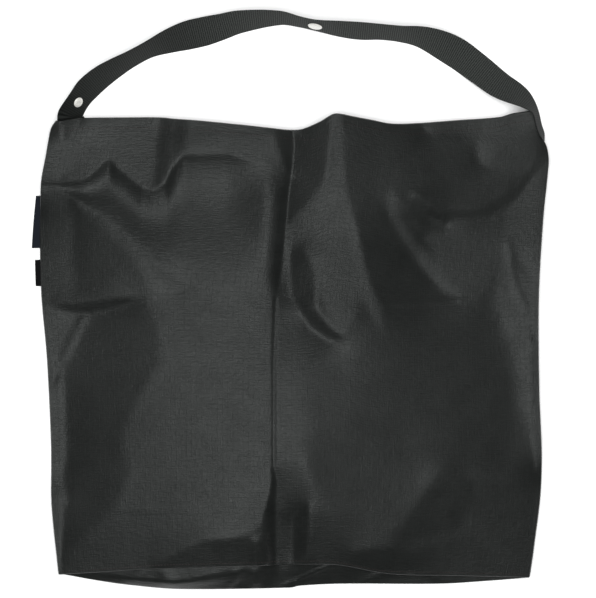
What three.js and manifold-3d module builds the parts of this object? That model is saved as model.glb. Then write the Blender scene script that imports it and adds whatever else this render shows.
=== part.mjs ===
// A flat nylon shoulder bag lying on its back, with a webbing strap laid in an arch above its mouth.
// Millimetres, +Z up. While it is drawn, x runs from the bag's middle line to the right
// and y from the bottom edge towards the mouth. The last lines put the origin under the middle.
import * as THREE from 'three';
import { mergeVertices } from 'three/addons/utils/BufferGeometryUtils.js';
import Module from 'manifold-3d';

// Thickness of the cloth and the clearance between neighbouring pieces
const CLOTH = 1.2;
const GAP = 0.3;
const LAYER = CLOTH + GAP;

// Corners closer than this count as one
const WELD_DISTANCE = 1e-4;

// Webbing of the strap
const WEBBING_WIDTH = 30;
const WEBBING_THICKNESS = 1.6;

// Height of the front's outer face at the side seams, above the gusset and beside it
const SEAM_HEIGHT = LAYER + CLOTH;
const GUSSET_SEAM_HEIGHT = 6.9;

// The bottom gusset reaches this far up between the walls, and its leaves stop short of the side seams
const GUSSET_TOP = 80;
const GUSSET_FOLD_RADIUS = 1.2;
const GUSSET_HALF_WIDTH = 232;

// Along the side seams the front comes down to the back over this stretch above the gusset
const GUSSET_RAMP_START = 85;
const GUSSET_RAMP_END = 120;

// The sewn side edges are this much thicker than the cloth
const SEAM_ROLL = 1.2;

// Near the mouth the strap's ends lift the front's edge: how far on the left, and where it begins and ends
const LEFT_LIFT = 4.8;
const LEFT_LIFT_START = 380;
const LEFT_LIFT_END = 467;
const RIGHT_LIFT_START = 405;
const RIGHT_LIFT_END = 470;

// The right edge lifts a little off the table: how far, over which width,
// and where it fades in and out along the edge
const SIDE_LIFT = 3.5;
const SIDE_LIFT_WIDTH = 30;
const SIDE_LIFT_LOW = [85, 150];
const SIDE_LIFT_HIGH = [420, 460];

// The open gusset lifts the front's bottom edge: where its leaves come down again
const GUSSET_RISE_END = 30;
const GUSSET_FLAT_FROM = 76;
const GUSSET_OPENING = [-4, 26];

// How finely the faceted pieces are cut
const FRONT_COLUMNS = 40;
const FRONT_ROWS = 34;
const BACK_COLUMNS = 20;
const BACK_ROWS = 22;
const GUSSET_COLUMNS = 28;
const STRAP_STEPS = 72;
const GUSSET_LEAF_SHARE = 0.4;
const GUSSET_ROWS = 15;
const SNAP_SIDES = 20;

// Side edges of the bag: y, x
const LEFT_EDGE = [
  [15, -234],
  [86, -241],
  [148, -242],
  [230, -246],
  [302, -252],
  [398, -252],
  [434, -245.5],
  [458, -240],
  [467, -234],
];
const RIGHT_EDGE = [
  [11, 234],
  [38, 238],
  [110, 246],
  [200, 243.5],
  [288, 243],
  [362, 247],
  [424, 253],
  [438, 251.5],
  [445, 248.5],
  [452, 243],
  [462, 240],
  [476, 236.8],
];

// Mouth edge of the front: x, y, height of its outer face
const LIP = [
  [-231, 465, 19],
  [-213, 467.5, 19],
  [-163, 468.5, 17],
  [-132, 468.5, 17],
  [-118.5, 467, 18],
  [-93, 465, 20],
  [-43.5, 460, 21],
  [-12, 456.5, 19.5],
  [0, 456, 17.5],
  [9, 457, 18.5],
  [25.5, 463.5, 24],
  [39, 471, 28],
  [47, 471, 28],
  [57, 469, 26.5],
  [77, 465.5, 23.5],
  [97, 462, 20],
  [125, 463, 17],
  [164, 466, 15.5],
  [203.5, 468.7, 17],
  [217, 472.4, 18],
  [236.8, 475, 19],
];

// Bottom edge of the front, where the gusset begins: x, y, height of its outer face
const FRONT_BOTTOM = [
  [-234, 15, 8.1],
  [-190, 18, 12.5],
  [-139, 22, 17],
  [-80, 24, 20],
  [-30, 25, 18],
  [0, 25.5, 16],
  [37, 26, 16.5],
  [53, 24, 16],
  [95, 16, 13],
  [160, 14, 10.5],
  [234, 12, 8.1],
];

// Bottom edge of the back, which shows below the front: x, y
const BACK_BOTTOM = [
  [-234, 15],
  [-194, 8],
  [-164, 4],
  [-114, 0],
  [-4, 1],
  [6, 3],
  [46, 5],
  [146, 5],
  [196, 8],
  [234, 11],
];

// The back's mouth edge lies this far below the front's
const BACK_LIP_DROP = 4;

// The stiff strap lifts the left top corner: the curl starts at this line, which runs up to the mouth
const CURL_START = new THREE.Vector2(-250, 380);
const CURL_END = new THREE.Vector2(-208, 470);
const CURL_SLOPE = 0.5;
const CURL_FULL_AT = 465;

// Centre crease from an old fold, where the front's left and right half meet: y, x
const CREASE = [
  [25, -19],
  [118, -20],
  [229, -20],
  [291, -18],
  [349, -9],
  [372, -7],
  [404, -2],
  [442, 2],
  [456, -1],
];
const CREASE_SHARE = 0.475;

// Facets of the front between its folds, the later ones over the earlier ones:
// rise to the right, rise towards the mouth, outline as points of x and y
const FACETS = {
  left_side: [0.17, -0.02, [
    [-258, 288], [-147, 288], [-135, 240], [-127, 226], [-153, 197], [-184, 156], [-189, 87],
    [-228, 22], [-254, -2],
  ]],
  left_plateau: [0.07, 0, [
    [-145, 296], [-102, 302], [-54, 320], [-20, 288], [-21, 108], [-32, 83], [-189, 87],
    [-184, 156], [-153, 197], [-127, 226], [-135, 240],
  ]],
  right_strip: [-0.07, 0, [
    [-17, 288], [6, 248], [51, 243], [58, 216], [28, 128], [36, 88], [1, 72], [-17, 108],
  ]],
  left_upper: [0.13, 0, [
    [-258, 402], [-223, 394], [-167, 349], [-149, 329], [-145, 290], [-242, 285], [-258, 288],
  ]],
  under_zigzag: [0.01, -0.11, [
    [-210, 404], [-182, 430], [-140, 396], [-108, 432], [-48, 428], [-6, 410], [-24, 373],
    [-26, 306], [-54, 320], [-102, 302], [-151, 331], [-223, 394],
  ]],
  left_lens: [-0.02, 0.36, [[-244, 285], [-210, 287], [-152, 289], [-183, 279], [-210, 273], [-232, 276]]],
  top_band: [0, -0.02, [
    [-206, 471], [-129, 471], [-140, 397], [-163, 410], [-182, 431], [-201, 412], [-230, 405], [-216, 460],
  ]],
  dart: [0.21, 0, [[-131, 470], [-98, 468], [-108, 434], [-124, 420], [-139, 398], [-134, 460]]],
  hem_right: [0.03, -0.07, [[-104, 468], [-11, 458], [-10, 438], [-32, 449], [-104, 442]]],
  crease_top_left: [-0.33, 0, [[-19, 456], [0, 454], [0, 438], [-3, 412], [-12, 433]]],
  zigzag_lobe: [-0.36, 0.5, [[-210, 405], [-192, 423], [-184, 429], [-190, 398], [-206, 388]]],
  zigzag_streak: [0.17, 0.22, [[-180, 428], [-160, 404], [-156, 388], [-160, 361], [-172, 393]]],
  second_streak: [0.18, 0.3, [[-107, 431], [-96, 427], [-82, 393], [-98, 403]]],
  crease_band: [-0.3, 0, [[-26, 408], [-5, 410], [-8, 363], [-18, 289], [-24, 308], [-28, 348]]],
  ridge_side: [0.27, 0.05, [[-1, 454], [26, 466], [39, 473], [31, 403], [-7, 363], [-2, 416]]],
  ridge_top: [0.03, -0.02, [[41, 473], [47, 473], [53, 390], [31, 401]]],
  plateau: [0.14, 0.08, [
    [31, 402], [53, 390], [69, 336], [92, 258], [68, 285], [50, 251], [25, 288], [16, 334],
    [-8.5, 349], [-7, 363],
  ]],
  plateau_edge: [0.48, 0, [[-3, 345], [8, 344], [22, 310], [28, 280], [6, 279], [-7, 323]]],
  plateau_foot: [0.31, 0.4, [[6, 282], [26, 286], [50, 251], [18, 259]]],
  right_of_ridge: [-0.13, 0.05, [
    [47, 473], [98, 465], [126, 465], [124, 438], [102, 422], [91, 382], [111, 341], [167, 288], [86, 285],
    [69, 336], [53, 390],
  ]],
  right_field: [-0.09, 0.03, [[102, 422], [156, 444], [187, 422], [236, 426], [185, 378], [96, 388]]],
  corner_light: [0.18, 0.09, [[184, 470], [238, 480], [242, 458], [198, 427], [181, 431]]],
  right_side_light: [0.14, 0.04, [[254, 428], [254, 388], [236, 308], [210, 343], [218, 382]]],
  corner_fold: [0.05, 0.27, [[152, 378], [206, 392], [236, 422], [241, 416], [201, 372], [161, 367]]],
  right_middle: [0.08, 0.04, [[131, 348], [185, 366], [209, 343], [193, 297], [148, 303]]],
  right_trough: [-0.26, 0.5, [[98, 392], [106, 388], [132, 352], [108, 370]]],
  second_trough: [-0.3, 0.75, [[116, 392], [126, 389], [154, 367], [134, 372]]],
  right_low_side: [0.09, 0, [[193, 297], [218, 326], [246, 240], [246, 158], [218, 188]]],
  lower_right: [-0.09, -0.03, [
    [51, 243], [92, 257], [87, 284], [193, 296], [221, 238], [206, 118], [161, 56], [36, 88],
    [28, 128], [58, 216],
  ]],
  lower_triangle: [-0.16, 0.34, [[147, 123], [105, 64], [101, 46], [176, 68]]],
  bottom_right: [-0.06, 0.2, [[176, 113], [248, 110], [236, 10], [131, 13], [118, 40], [161, 54]]],
  bottom_right_strip: [0.1, 0.5, [[56, 36], [118, 40], [131, 20], [53, 22]]],
  bottom_trough: [0.9, 0.05, [[1, 72], [16, 86], [13, 26], [0, 26]]],
  bottom_left: [-0.02, 0, [
    [-226, 26], [-198, 75], [-32, 83], [-46, 54], [-91, 51], [-137, 26], [-234, 12],
  ]],
  bottom_wedge: [0.03, 0.26, [[-137, 26], [-91, 51], [-46, 54], [-20, 108], [-20, 22]]],
  crease_foot: [-0.8, 0, [[-28, 76], [-20, 118], [-18.5, 24], [-28, 24]]],
  crease_channel: [0.06, 0.14, [[-18, 88], [0, 76], [0, 24], [-18, 24]]],
};

// Grid on which the heights of the front are found
const GRID_STEP = 4;
const GRID_LEFT = -264;
const GRID_COLUMNS = 133;
const GRID_ROWS = 124;
const SETTLE_PASSES = 900;
const SETTLE_SPEED = 1.85;

// Strap from left to right: x, y of its middle, roll in degrees (positive with the outer edge high),
// and the height of its lowest edge
const STRAP = [
  [-219, 436, 8, 2],
  [-218.3, 452, 15, 2.2],
  [-219.5, 467.5, 25, 2.2],
  [-219.8, 477, 45, 1.2],
  [-212.8, 487.9, 52, 0.6],
  [-205, 498, 47, 0.3],
  [-192, 509.2, 50, 0.3],
  [-177, 518.9, 58, 0.3],
  [-162, 527.3, 65, 0.3],
  [-143.2, 537.2, 64, 0.3],
  [-123.5, 545.6, 46, 0.3],
  [-104, 552.2, 27, 0.3],
  [-89, 555.7, 27, 0.3],
  [-74, 559.3, 38, 0.3],
  [-54, 564.5, 50, 0.3],
  [-14, 568, 71, 0.3],
  [6, 564, 78, 0.3],
  [22, 560.6, 77, 0.3],
  [46, 557.2, 67, 0.3],
  [66, 555.2, 63, 0.3],
  [86, 554.2, 67, 0.3],
  [106, 552.2, 66, 0.3],
  [126, 549.4, 54, 0.3],
  [145.5, 542.6, 32, 0.3],
  [166, 532.3, 6, 0.3],
  [186, 517.3, -8, 0.3],
  [204.5, 502.8, -20, 0.3],
  [224.5, 491, -40, 0.3],
  [234, 482.5, -57, 0.3],
  [240.5, 474, -71, 0.3],
  [244.5, 462, -73, 0.3],
  [247, 453.5, -72, 0.3],
];

// How tightly the strap's roll and height follow that table
const STRAP_TENSION = 0.4;

// Snaps: where along the strap they sit, and the sizes of their caps
const LOWER_SNAP = { x: -216, y: 485.5, capRadius: 5.2 };
const UPPER_SNAP = { x: 21.5, y: 563, capRadius: 7.2 };
const SNAP_SHANK_RADIUS = 1.7;
const SNAP_FACE_GAP = 0.6;
const SNAP_CAP_HEIGHT = 2.2;
const SNAP_RIM_HEIGHT = 0.8;
const SNAP_RING_HEIGHT = 1.4;

// Shares of a snap's sizes: its ring against its cap, the ring's flat, and the cap's shoulder and flat
const SNAP_RING_SHARE = 0.85;
const SNAP_RING_FLAT = 0.7;
const SNAP_CAP_SHOULDER = 0.8;
const SNAP_CAP_FLAT = 0.45;

// Tabs sewn into the left side seam: ends along the seam, reach at both ends, thickness
const UPPER_TAB = { low: 340, high: 392, reachLow: 9, reachHigh: 5.5, thickness: 1.2 };
const LOWER_TAB = { low: 302, high: 328, reachLow: 6, reachHigh: 6, thickness: 1 };
const TAB_HEIGHT = 0.6;

const lerp = THREE.MathUtils.lerp;
const clamp = THREE.MathUtils.clamp;

// A smooth curve through the rows of a table, read at one value of its first column
function curveThrough(rows, column) {
  const slopes = rows.map((row, i) => {
    const before = rows[Math.max(i - 1, 0)];
    const after = rows[Math.min(i + 1, rows.length - 1)];
    return (after[column] - before[column]) / (after[0] - before[0]);
  });
  return (position) => {
    const at = clamp(position, rows[0][0], rows[rows.length - 1][0]);
    let i = 0;
    while (i < rows.length - 2 && at > rows[i + 1][0]) i += 1;
    const span = rows[i + 1][0] - rows[i][0];
    const t = (at - rows[i][0]) / span;
    const start = rows[i][column] * (1 + 2 * t) * (1 - t) ** 2 + slopes[i] * span * t * (1 - t) ** 2;
    const end = rows[i + 1][column] * t * t * (3 - 2 * t) + slopes[i + 1] * span * t * t * (t - 1);
    return start + end;
  };
}

const leftAt = curveThrough(LEFT_EDGE, 1);
const rightAt = curveThrough(RIGHT_EDGE, 1);
const lipAt = curveThrough(LIP, 1);
const lipHeight = curveThrough(LIP, 2);
const frontBottomAt = curveThrough(FRONT_BOTTOM, 1);
const frontBottomHeight = curveThrough(FRONT_BOTTOM, 2);
const backBottomAt = curveThrough(BACK_BOTTOM, 1);
const creaseAt = curveThrough(CREASE, 1);

// How far the curl at the left top corner lifts the back's underside
function cornerCurl(x, y) {
  const line = CURL_END.clone().sub(CURL_START).normalize();
  const beyond = (y - CURL_START.y) * line.x - (x - CURL_START.x) * line.y;
  const share = THREE.MathUtils.smoothstep(y, CURL_START.y, CURL_FULL_AT);
  return Math.max(beyond, 0) * CURL_SLOPE * share;
}

// How far the right edge lifts off the table
function sideLift(x, y) {
  const nearEdge = clamp(1 - (rightAt(y) - x) / SIDE_LIFT_WIDTH, 0, 1);
  const rising = THREE.MathUtils.smoothstep(y, ...SIDE_LIFT_LOW);
  const falling = THREE.MathUtils.smoothstep(y, ...SIDE_LIFT_HIGH);
  return SIDE_LIFT * nearEdge ** 2 * rising * (1 - falling);
}

// How far the back's underside lies above the table
function backRise(x, y) {
  return cornerCurl(x, y) + sideLift(x, y);
}

// How far the open gusset lifts the front's bottom edge
function gussetRise(x) {
  return frontBottomHeight(x) - GUSSET_SEAM_HEIGHT - SEAM_ROLL;
}

// Height of the front's outer face where it lies on the back or on the gusset
function restHeight(x, y) {
  const aboveGusset = THREE.MathUtils.smoothstep(y, GUSSET_RAMP_START, GUSSET_RAMP_END);
  const flat = lerp(GUSSET_SEAM_HEIGHT, SEAM_HEIGHT, aboveGusset) + backRise(x, y);
  return flat + gussetRise(x) * (1 - THREE.MathUtils.smoothstep(y, GUSSET_RISE_END, GUSSET_FLAT_FROM));
}

// Height of the front's outer face along the side seams
function seamHeight(x, y) {
  const aboveGusset = THREE.MathUtils.smoothstep(y, GUSSET_RAMP_START, GUSSET_RAMP_END);
  const plain = lerp(GUSSET_SEAM_HEIGHT, SEAM_HEIGHT, aboveGusset) + SEAM_ROLL + backRise(x, y);
  if (x < 0) return plain + LEFT_LIFT * THREE.MathUtils.smoothstep(y, LEFT_LIFT_START, LEFT_LIFT_END);
  const lipEnd = LIP[LIP.length - 1];
  return lerp(plain, lipEnd[2], THREE.MathUtils.smoothstep(y, RIGHT_LIFT_START, RIGHT_LIFT_END));
}

// Whether a point lies inside an outline
function inside(x, y, outline) {
  let odd = false;
  outline.forEach(([ax, ay], i) => {
    const [bx, by] = outline[(i + 1) % outline.length];
    if (ay > y !== by > y && x < ax + ((y - ay) * (bx - ax)) / (by - ay)) odd = !odd;
  });
  return odd;
}

// Heights of the front, on a square grid between its edges,
// with slopes that come as close as they can to the leans of its facets
function settleFront() {
  const count = GRID_COLUMNS * GRID_ROWS;
  const height = new Float64Array(count);
  const lowest = new Float64Array(count);
  const fixed = new Uint8Array(count);
  const leanRight = new Float64Array(count);
  const leanUp = new Float64Array(count);
  for (let row = 0; row < GRID_ROWS; row += 1) {
    for (let column = 0; column < GRID_COLUMNS; column += 1) {
      const x = GRID_LEFT + column * GRID_STEP;
      const y = row * GRID_STEP;
      const i = row * GRID_COLUMNS + column;
      lowest[i] = restHeight(x, y);
      height[i] = lowest[i];
      const outsideSides = x <= leftAt(y) || x >= rightAt(y);
      if (y >= lipAt(x)) {
        height[i] = lipHeight(x);
        fixed[i] = 1;
      } else if (outsideSides) {
        height[i] = seamHeight(clamp(x, leftAt(y), rightAt(y)), y);
        fixed[i] = 1;
      } else if (y <= frontBottomAt(x)) {
        height[i] = frontBottomHeight(x);
        fixed[i] = 1;
      }
      for (const [right, up, outline] of Object.values(FACETS)) {
        if (inside(x, y, outline)) {
          leanRight[i] = right;
          leanUp[i] = up;
        }
      }
    }
  }
  const rise = (lean, from, to) => ((lean[from] + lean[to]) / 2) * GRID_STEP;
  for (let pass = 0; pass < SETTLE_PASSES; pass += 1) {
    for (let i = GRID_COLUMNS; i < count - GRID_COLUMNS; i += 1) {
      if (fixed[i]) continue;
      const below = i - GRID_COLUMNS;
      const above = i + GRID_COLUMNS;
      const fromLeft = height[i - 1] + rise(leanRight, i - 1, i);
      const fromRight = height[i + 1] - rise(leanRight, i, i + 1);
      const fromBelow = height[below] + rise(leanUp, below, i);
      const fromAbove = height[above] - rise(leanUp, i, above);
      const target = (fromLeft + fromRight + fromBelow + fromAbove) / 4;
      height[i] = Math.max(height[i] + SETTLE_SPEED * (target - height[i]), lowest[i]);
    }
  }
  return (x, y) => {
    const gx = clamp((x - GRID_LEFT) / GRID_STEP, 0, GRID_COLUMNS - 1.001);
    const gy = clamp(y / GRID_STEP, 0, GRID_ROWS - 1.001);
    const column = Math.floor(gx);
    const row = Math.floor(gy);
    const i = row * GRID_COLUMNS + column;
    const low = lerp(height[i], height[i + 1], gx - column);
    const high = lerp(height[i + GRID_COLUMNS], height[i + GRID_COLUMNS + 1], gx - column);
    return lerp(low, high, gy - row);
  };
}

// A flat box cut into cells, each corner carried to its place by a function of u, v and w from 0 to 1
function formedSheet(columns, rows, place) {
  const sheet = new THREE.BoxGeometry(1, 1, 1, columns, rows, 1);
  const position = sheet.getAttribute('position');
  for (let i = 0; i < position.count; i += 1) {
    const spot = place(position.getX(i) + 0.5, position.getY(i) + 0.5, position.getZ(i) + 0.5);
    position.setXYZ(i, spot.x, spot.y, spot.z);
  }
  return welded(sheet);
}

// The same shape with shared corners, as a closed body needs
function welded(geometry) {
  geometry.deleteAttribute('normal');
  geometry.deleteAttribute('uv');
  return mergeVertices(geometry, WELD_DISTANCE);
}

// Place in plan of a wall's point u across and v up, between a bottom and a top edge
function wallPlan(u, v, bottomAt, topAt, acrossAt) {
  const turns = 6;
  let x = lerp(LEFT_EDGE[0][1], RIGHT_EDGE[0][1], u);
  let y = 0;
  for (let turn = 0; turn < turns; turn += 1) {
    y = lerp(bottomAt(x), topAt(x), v);
    x = acrossAt(u, y);
  }
  return { x, y };
}

// Across the back the columns are spread evenly, across the front one of them runs along the crease
const evenAcross = (u, y) => lerp(leftAt(y), rightAt(y), u);
function creaseAcross(u, y) {
  if (u < CREASE_SHARE) return lerp(leftAt(y), creaseAt(y), u / CREASE_SHARE);
  return lerp(creaseAt(y), rightAt(y), (u - CREASE_SHARE) / (1 - CREASE_SHARE));
}

const frontHeight = settleFront();

function frontPanel() {
  return formedSheet(FRONT_COLUMNS, FRONT_ROWS, (u, v, w) => {
    const { x, y } = wallPlan(u, v, frontBottomAt, lipAt, creaseAcross);
    const atSeam = u === 0 || u === 1;
    const height = atSeam ? seamHeight(x, y) : frontHeight(x, y);
    const thickness = atSeam && y < LEFT_LIFT_START ? CLOTH + SEAM_ROLL : CLOTH;
    return new THREE.Vector3(x, y, height - thickness * (1 - w));
  });
}

// The back lies flat, apart from the curl at its left top corner and its right edge
function backPanel() {
  const backLipAt = (x) => lipAt(x) - BACK_LIP_DROP;
  return formedSheet(BACK_COLUMNS, BACK_ROWS, (u, v, w) => {
    const { x, y } = wallPlan(u, v, backBottomAt, backLipAt, evenAcross);
    return new THREE.Vector3(x, y, backRise(x, y) + CLOTH * w);
  });
}

// The gusset in section: its lower leaf, the fold at its top, and its upper leaf back to the front's edge
function bottomGusset() {
  const lowerMiddle = LAYER + CLOTH / 2;
  const foldMiddle = lowerMiddle + GUSSET_FOLD_RADIUS;
  const leafShare = GUSSET_LEAF_SHARE;
  return formedSheet(GUSSET_COLUMNS, GUSSET_ROWS, (u, v, w) => {
    const across = lerp(-GUSSET_HALF_WIDTH, GUSSET_HALF_WIDTH, u);
    const top = GUSSET_TOP - GUSSET_FOLD_RADIUS;
    const offset = (w - 0.5) * CLOTH;
    const sideways = (y) => clamp(across, leftAt(y) + GAP, rightAt(y) - GAP);
    const fallen = (y) => 1 - THREE.MathUtils.smoothstep(y, GUSSET_RISE_END, GUSSET_FLAT_FROM);
    if (v < leafShare) {
      const start = backBottomAt(across);
      const y = lerp(start, top, v / leafShare);
      const opening = THREE.MathUtils.smoothstep(y - start, ...GUSSET_OPENING) * fallen(y);
      return new THREE.Vector3(sideways(y), y, lowerMiddle + offset + gussetRise(across) * opening);
    }
    if (v > 1 - leafShare) {
      const y = lerp(top, frontBottomAt(across), (v - 1 + leafShare) / leafShare);
      const height = foldMiddle + GUSSET_FOLD_RADIUS - offset + gussetRise(across) * fallen(y);
      return new THREE.Vector3(sideways(y), y, height);
    }
    const turn = Math.PI * ((v - leafShare) / (1 - 2 * leafShare) - 0.5);
    const radius = GUSSET_FOLD_RADIUS - offset;
    const y = top + radius * Math.cos(turn);
    return new THREE.Vector3(sideways(top), y, foldMiddle + radius * Math.sin(turn));
  });
}

// The strap's middle line and roll as smooth curves along its length
const strapMiddle = new THREE.CatmullRomCurve3(
  STRAP.map(([x, y]) => new THREE.Vector3(x, y, 0)),
  false,
  'centripetal',
);
const strapSetting = new THREE.CatmullRomCurve3(
  STRAP.map(([, , roll, lift]) => new THREE.Vector3(roll, lift, 0)),
  false,
  'catmullrom',
  STRAP_TENSION,
);

// Position and directions of the strap at t from 0 at its left end to 1 at its right end
function strapFrame(t) {
  const middle = strapMiddle.getPoint(t);
  const setting = strapSetting.getPoint(t);
  const along = strapMiddle.getTangent(t).setZ(0).normalize();
  const outwards = new THREE.Vector3(-along.y, along.x, 0);
  const up = new THREE.Vector3(0, 0, 1);
  const roll = THREE.MathUtils.degToRad(setting.x);
  const across = outwards.clone().multiplyScalar(Math.cos(roll)).addScaledVector(up, Math.sin(roll));
  const face = along.clone().cross(across).normalize();
  const widthDrop = (WEBBING_WIDTH / 2) * Math.abs(Math.sin(roll));
  const thicknessDrop = (WEBBING_THICKNESS / 2) * Math.cos(roll);
  middle.z = setting.y + widthDrop + thicknessDrop;
  return { middle, along, across, face };
}

// The place along the strap nearest to a point in plan
function strapPlaceNear(x, y) {
  const tries = 2000;
  let best = 0;
  let nearest = Infinity;
  for (let i = 0; i <= tries; i += 1) {
    const spot = strapMiddle.getPoint(i / tries);
    const distance = Math.hypot(spot.x - x, spot.y - y);
    if (distance < nearest) {
      nearest = distance;
      best = i / tries;
    }
  }
  return best;
}

// Turns a shape built along +Z so that it stands on the strap's upper face at t
function placedOnStrap(geometry, t) {
  const { middle, along, across, face } = strapFrame(t);
  const turn = new THREE.Matrix4().makeBasis(along, across, face).setPosition(middle);
  return geometry.applyMatrix4(turn);
}

const wasm = await Module();
wasm.setup();

function toSolid(geometry) {
  const plain = welded(geometry);
  return new wasm.Manifold(new wasm.Mesh({
    numProp: 3,
    vertProperties: new Float32Array(plain.getAttribute('position').array),
    triVerts: new Uint32Array(plain.index.array),
  }));
}

function fromSolid(solid) {
  const mesh = solid.getMesh();
  const geometry = new THREE.BufferGeometry();
  geometry.setAttribute('position', new THREE.BufferAttribute(new Float32Array(mesh.vertProperties), 3));
  geometry.setIndex(new THREE.BufferAttribute(new Uint32Array(mesh.triVerts), 1));
  return geometry;
}

const lowerSnapPlace = strapPlaceNear(LOWER_SNAP.x, LOWER_SNAP.y);
const upperSnapPlace = strapPlaceNear(UPPER_SNAP.x, UPPER_SNAP.y);

function strap() {
  const band = formedSheet(STRAP_STEPS, 2, (u, v, w) => {
    const { middle, across, face } = strapFrame(u);
    return middle
      .addScaledVector(across, (v - 0.5) * WEBBING_WIDTH)
      .addScaledVector(face, (w - 0.5) * WEBBING_THICKNESS);
  });
  let solid = toSolid(band);
  for (const t of [lowerSnapPlace, upperSnapPlace]) {
    const punch = new THREE.CylinderGeometry(
      SNAP_SHANK_RADIUS + GAP,
      SNAP_SHANK_RADIUS + GAP,
      WEBBING_THICKNESS * 4,
      SNAP_SIDES,
    );
    punch.rotateX(Math.PI / 2);
    solid = solid.subtract(toSolid(placedOnStrap(punch, t)));
  }
  return fromSolid(solid);
}

// A snap riveted through the strap: cap in front, shank through the webbing, ring behind
function snap(capRadius, t) {
  const faceGap = WEBBING_THICKNESS / 2 + SNAP_FACE_GAP;
  const ringRadius = capRadius * SNAP_RING_SHARE;
  const profile = [
    [0, -faceGap - SNAP_RING_HEIGHT],
    [ringRadius * SNAP_RING_FLAT, -faceGap - SNAP_RING_HEIGHT],
    [ringRadius, -faceGap - SNAP_RING_HEIGHT / 2],
    [ringRadius, -faceGap],
    [SNAP_SHANK_RADIUS, -faceGap],
    [SNAP_SHANK_RADIUS, faceGap],
    [capRadius, faceGap],
    [capRadius, faceGap + SNAP_RIM_HEIGHT],
    [capRadius * SNAP_CAP_SHOULDER, faceGap + SNAP_CAP_HEIGHT * SNAP_CAP_SHOULDER],
    [capRadius * SNAP_CAP_FLAT, faceGap + SNAP_CAP_HEIGHT],
    [0, faceGap + SNAP_CAP_HEIGHT],
  ].map(([radius, height]) => new THREE.Vector2(radius, height));
  const turned = new THREE.LatheGeometry(profile, SNAP_SIDES);
  turned.rotateX(Math.PI / 2);
  return welded(placedOnStrap(turned, t));
}

// A woven tab that sticks out of the left seam
function tab({ low, high, reachLow, reachHigh, thickness }) {
  const points = 6;
  const outline = [];
  for (let i = 0; i <= points; i += 1) {
    const y = lerp(low, high, i / points);
    outline.push(new THREE.Vector2(leftAt(y) - GAP, y));
  }
  outline.push(new THREE.Vector2(leftAt(high) - reachHigh, high));
  outline.push(new THREE.Vector2(leftAt(low) - reachLow, low));
  const shape = new THREE.Shape(outline);
  const plate = new THREE.ExtrudeGeometry(shape, { depth: thickness, bevelEnabled: false });
  plate.translate(0, 0, TAB_HEIGHT);
  return welded(plate);
}

function fabric(colour, roughness) {
  return new THREE.MeshStandardMaterial({ color: colour, roughness, metalness: 0 });
}

function metal() {
  return new THREE.MeshStandardMaterial({ color: 0xd8d6cf, roughness: 0.35, metalness: 0.9 });
}

const bag = new THREE.Group();
function add(name, geometry, material) {
  const mesh = new THREE.Mesh(geometry, material);
  mesh.name = name;
  bag.add(mesh);
}

add('front_panel', frontPanel(), fabric(0x2a2d2b, 0.55));
add('back_panel', backPanel(), fabric(0x272a28, 0.55));
add('bottom_gusset', bottomGusset(), fabric(0x252826, 0.55));
add('strap', strap(), fabric(0x222422, 0.75));
add('lower_snap', snap(LOWER_SNAP.capRadius, lowerSnapPlace), metal());
add('upper_snap', snap(UPPER_SNAP.capRadius, upperSnapPlace), metal());
add('upper_tab', tab(UPPER_TAB), fabric(0x1d2334, 0.7));
add('lower_tab', tab(LOWER_TAB), fabric(0x17181a, 0.7));

// The origin goes to the middle of the bag's box, on the surface it lies on
const box = new THREE.Box3().setFromObject(bag);
const middle = box.getCenter(new THREE.Vector3());
bag.position.set(-middle.x, -middle.y, -box.min.z);

export default bag;
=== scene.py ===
# %% [markdown]
# # A flat nylon shoulder bag
# The bag is two walls of thin black ripstop nylon with a folded strip between them at the bottom,
# one webbing strap, two metal snaps and two small woven tabs. It lies on its back on a pale table.
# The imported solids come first, because they hold the real sizes. Everything after them only adds looks.

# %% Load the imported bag
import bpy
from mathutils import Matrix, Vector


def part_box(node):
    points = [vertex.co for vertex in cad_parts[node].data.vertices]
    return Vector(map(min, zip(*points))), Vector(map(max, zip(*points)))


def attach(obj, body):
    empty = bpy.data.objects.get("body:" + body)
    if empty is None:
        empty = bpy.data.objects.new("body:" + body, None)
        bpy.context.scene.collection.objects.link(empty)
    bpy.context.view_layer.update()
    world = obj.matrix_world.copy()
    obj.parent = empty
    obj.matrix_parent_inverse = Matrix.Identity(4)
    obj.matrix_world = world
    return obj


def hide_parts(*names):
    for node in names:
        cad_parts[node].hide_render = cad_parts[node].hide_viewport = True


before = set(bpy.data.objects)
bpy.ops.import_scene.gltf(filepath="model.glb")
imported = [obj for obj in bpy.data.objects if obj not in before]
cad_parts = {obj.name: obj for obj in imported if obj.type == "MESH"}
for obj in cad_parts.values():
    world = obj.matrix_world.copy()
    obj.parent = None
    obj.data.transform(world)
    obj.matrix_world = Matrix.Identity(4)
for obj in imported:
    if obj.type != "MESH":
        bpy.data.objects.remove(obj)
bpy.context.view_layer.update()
print("nodes", sorted(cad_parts))

# %% [markdown]
# # One drawing for all pieces
# The bag is drawn in millimetres: x runs from its middle line to the right, y from its bottom edge
# to the mouth. The frame's origin lies under the middle of the bag instead, so one shift carries the
# drawing there. The lower end of the lower tab is known in the drawing, so the box of that tab gives
# the shift to within a millimetre.

# %% Drawing and frame
import math
import bpy
import numpy as np
from mathutils import Matrix, Vector

MM = 0.001
LOWER_TAB = {"low": 302, "high": 328, "reach_low": 6, "reach_high": 6}

# Side edges of the bag: y, x
LEFT_EDGE = [
    (15, -234), (86, -241), (148, -242), (230, -246), (302, -252),
    (398, -252), (434, -245.5), (458, -240), (467, -234),
]
RIGHT_EDGE = [
    (11, 234), (38, 238), (110, 246), (200, 243.5), (288, 243), (362, 247),
    (424, 253), (438, 251.5), (445, 248.5), (452, 243), (462, 240), (476, 236.8),
]


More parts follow.
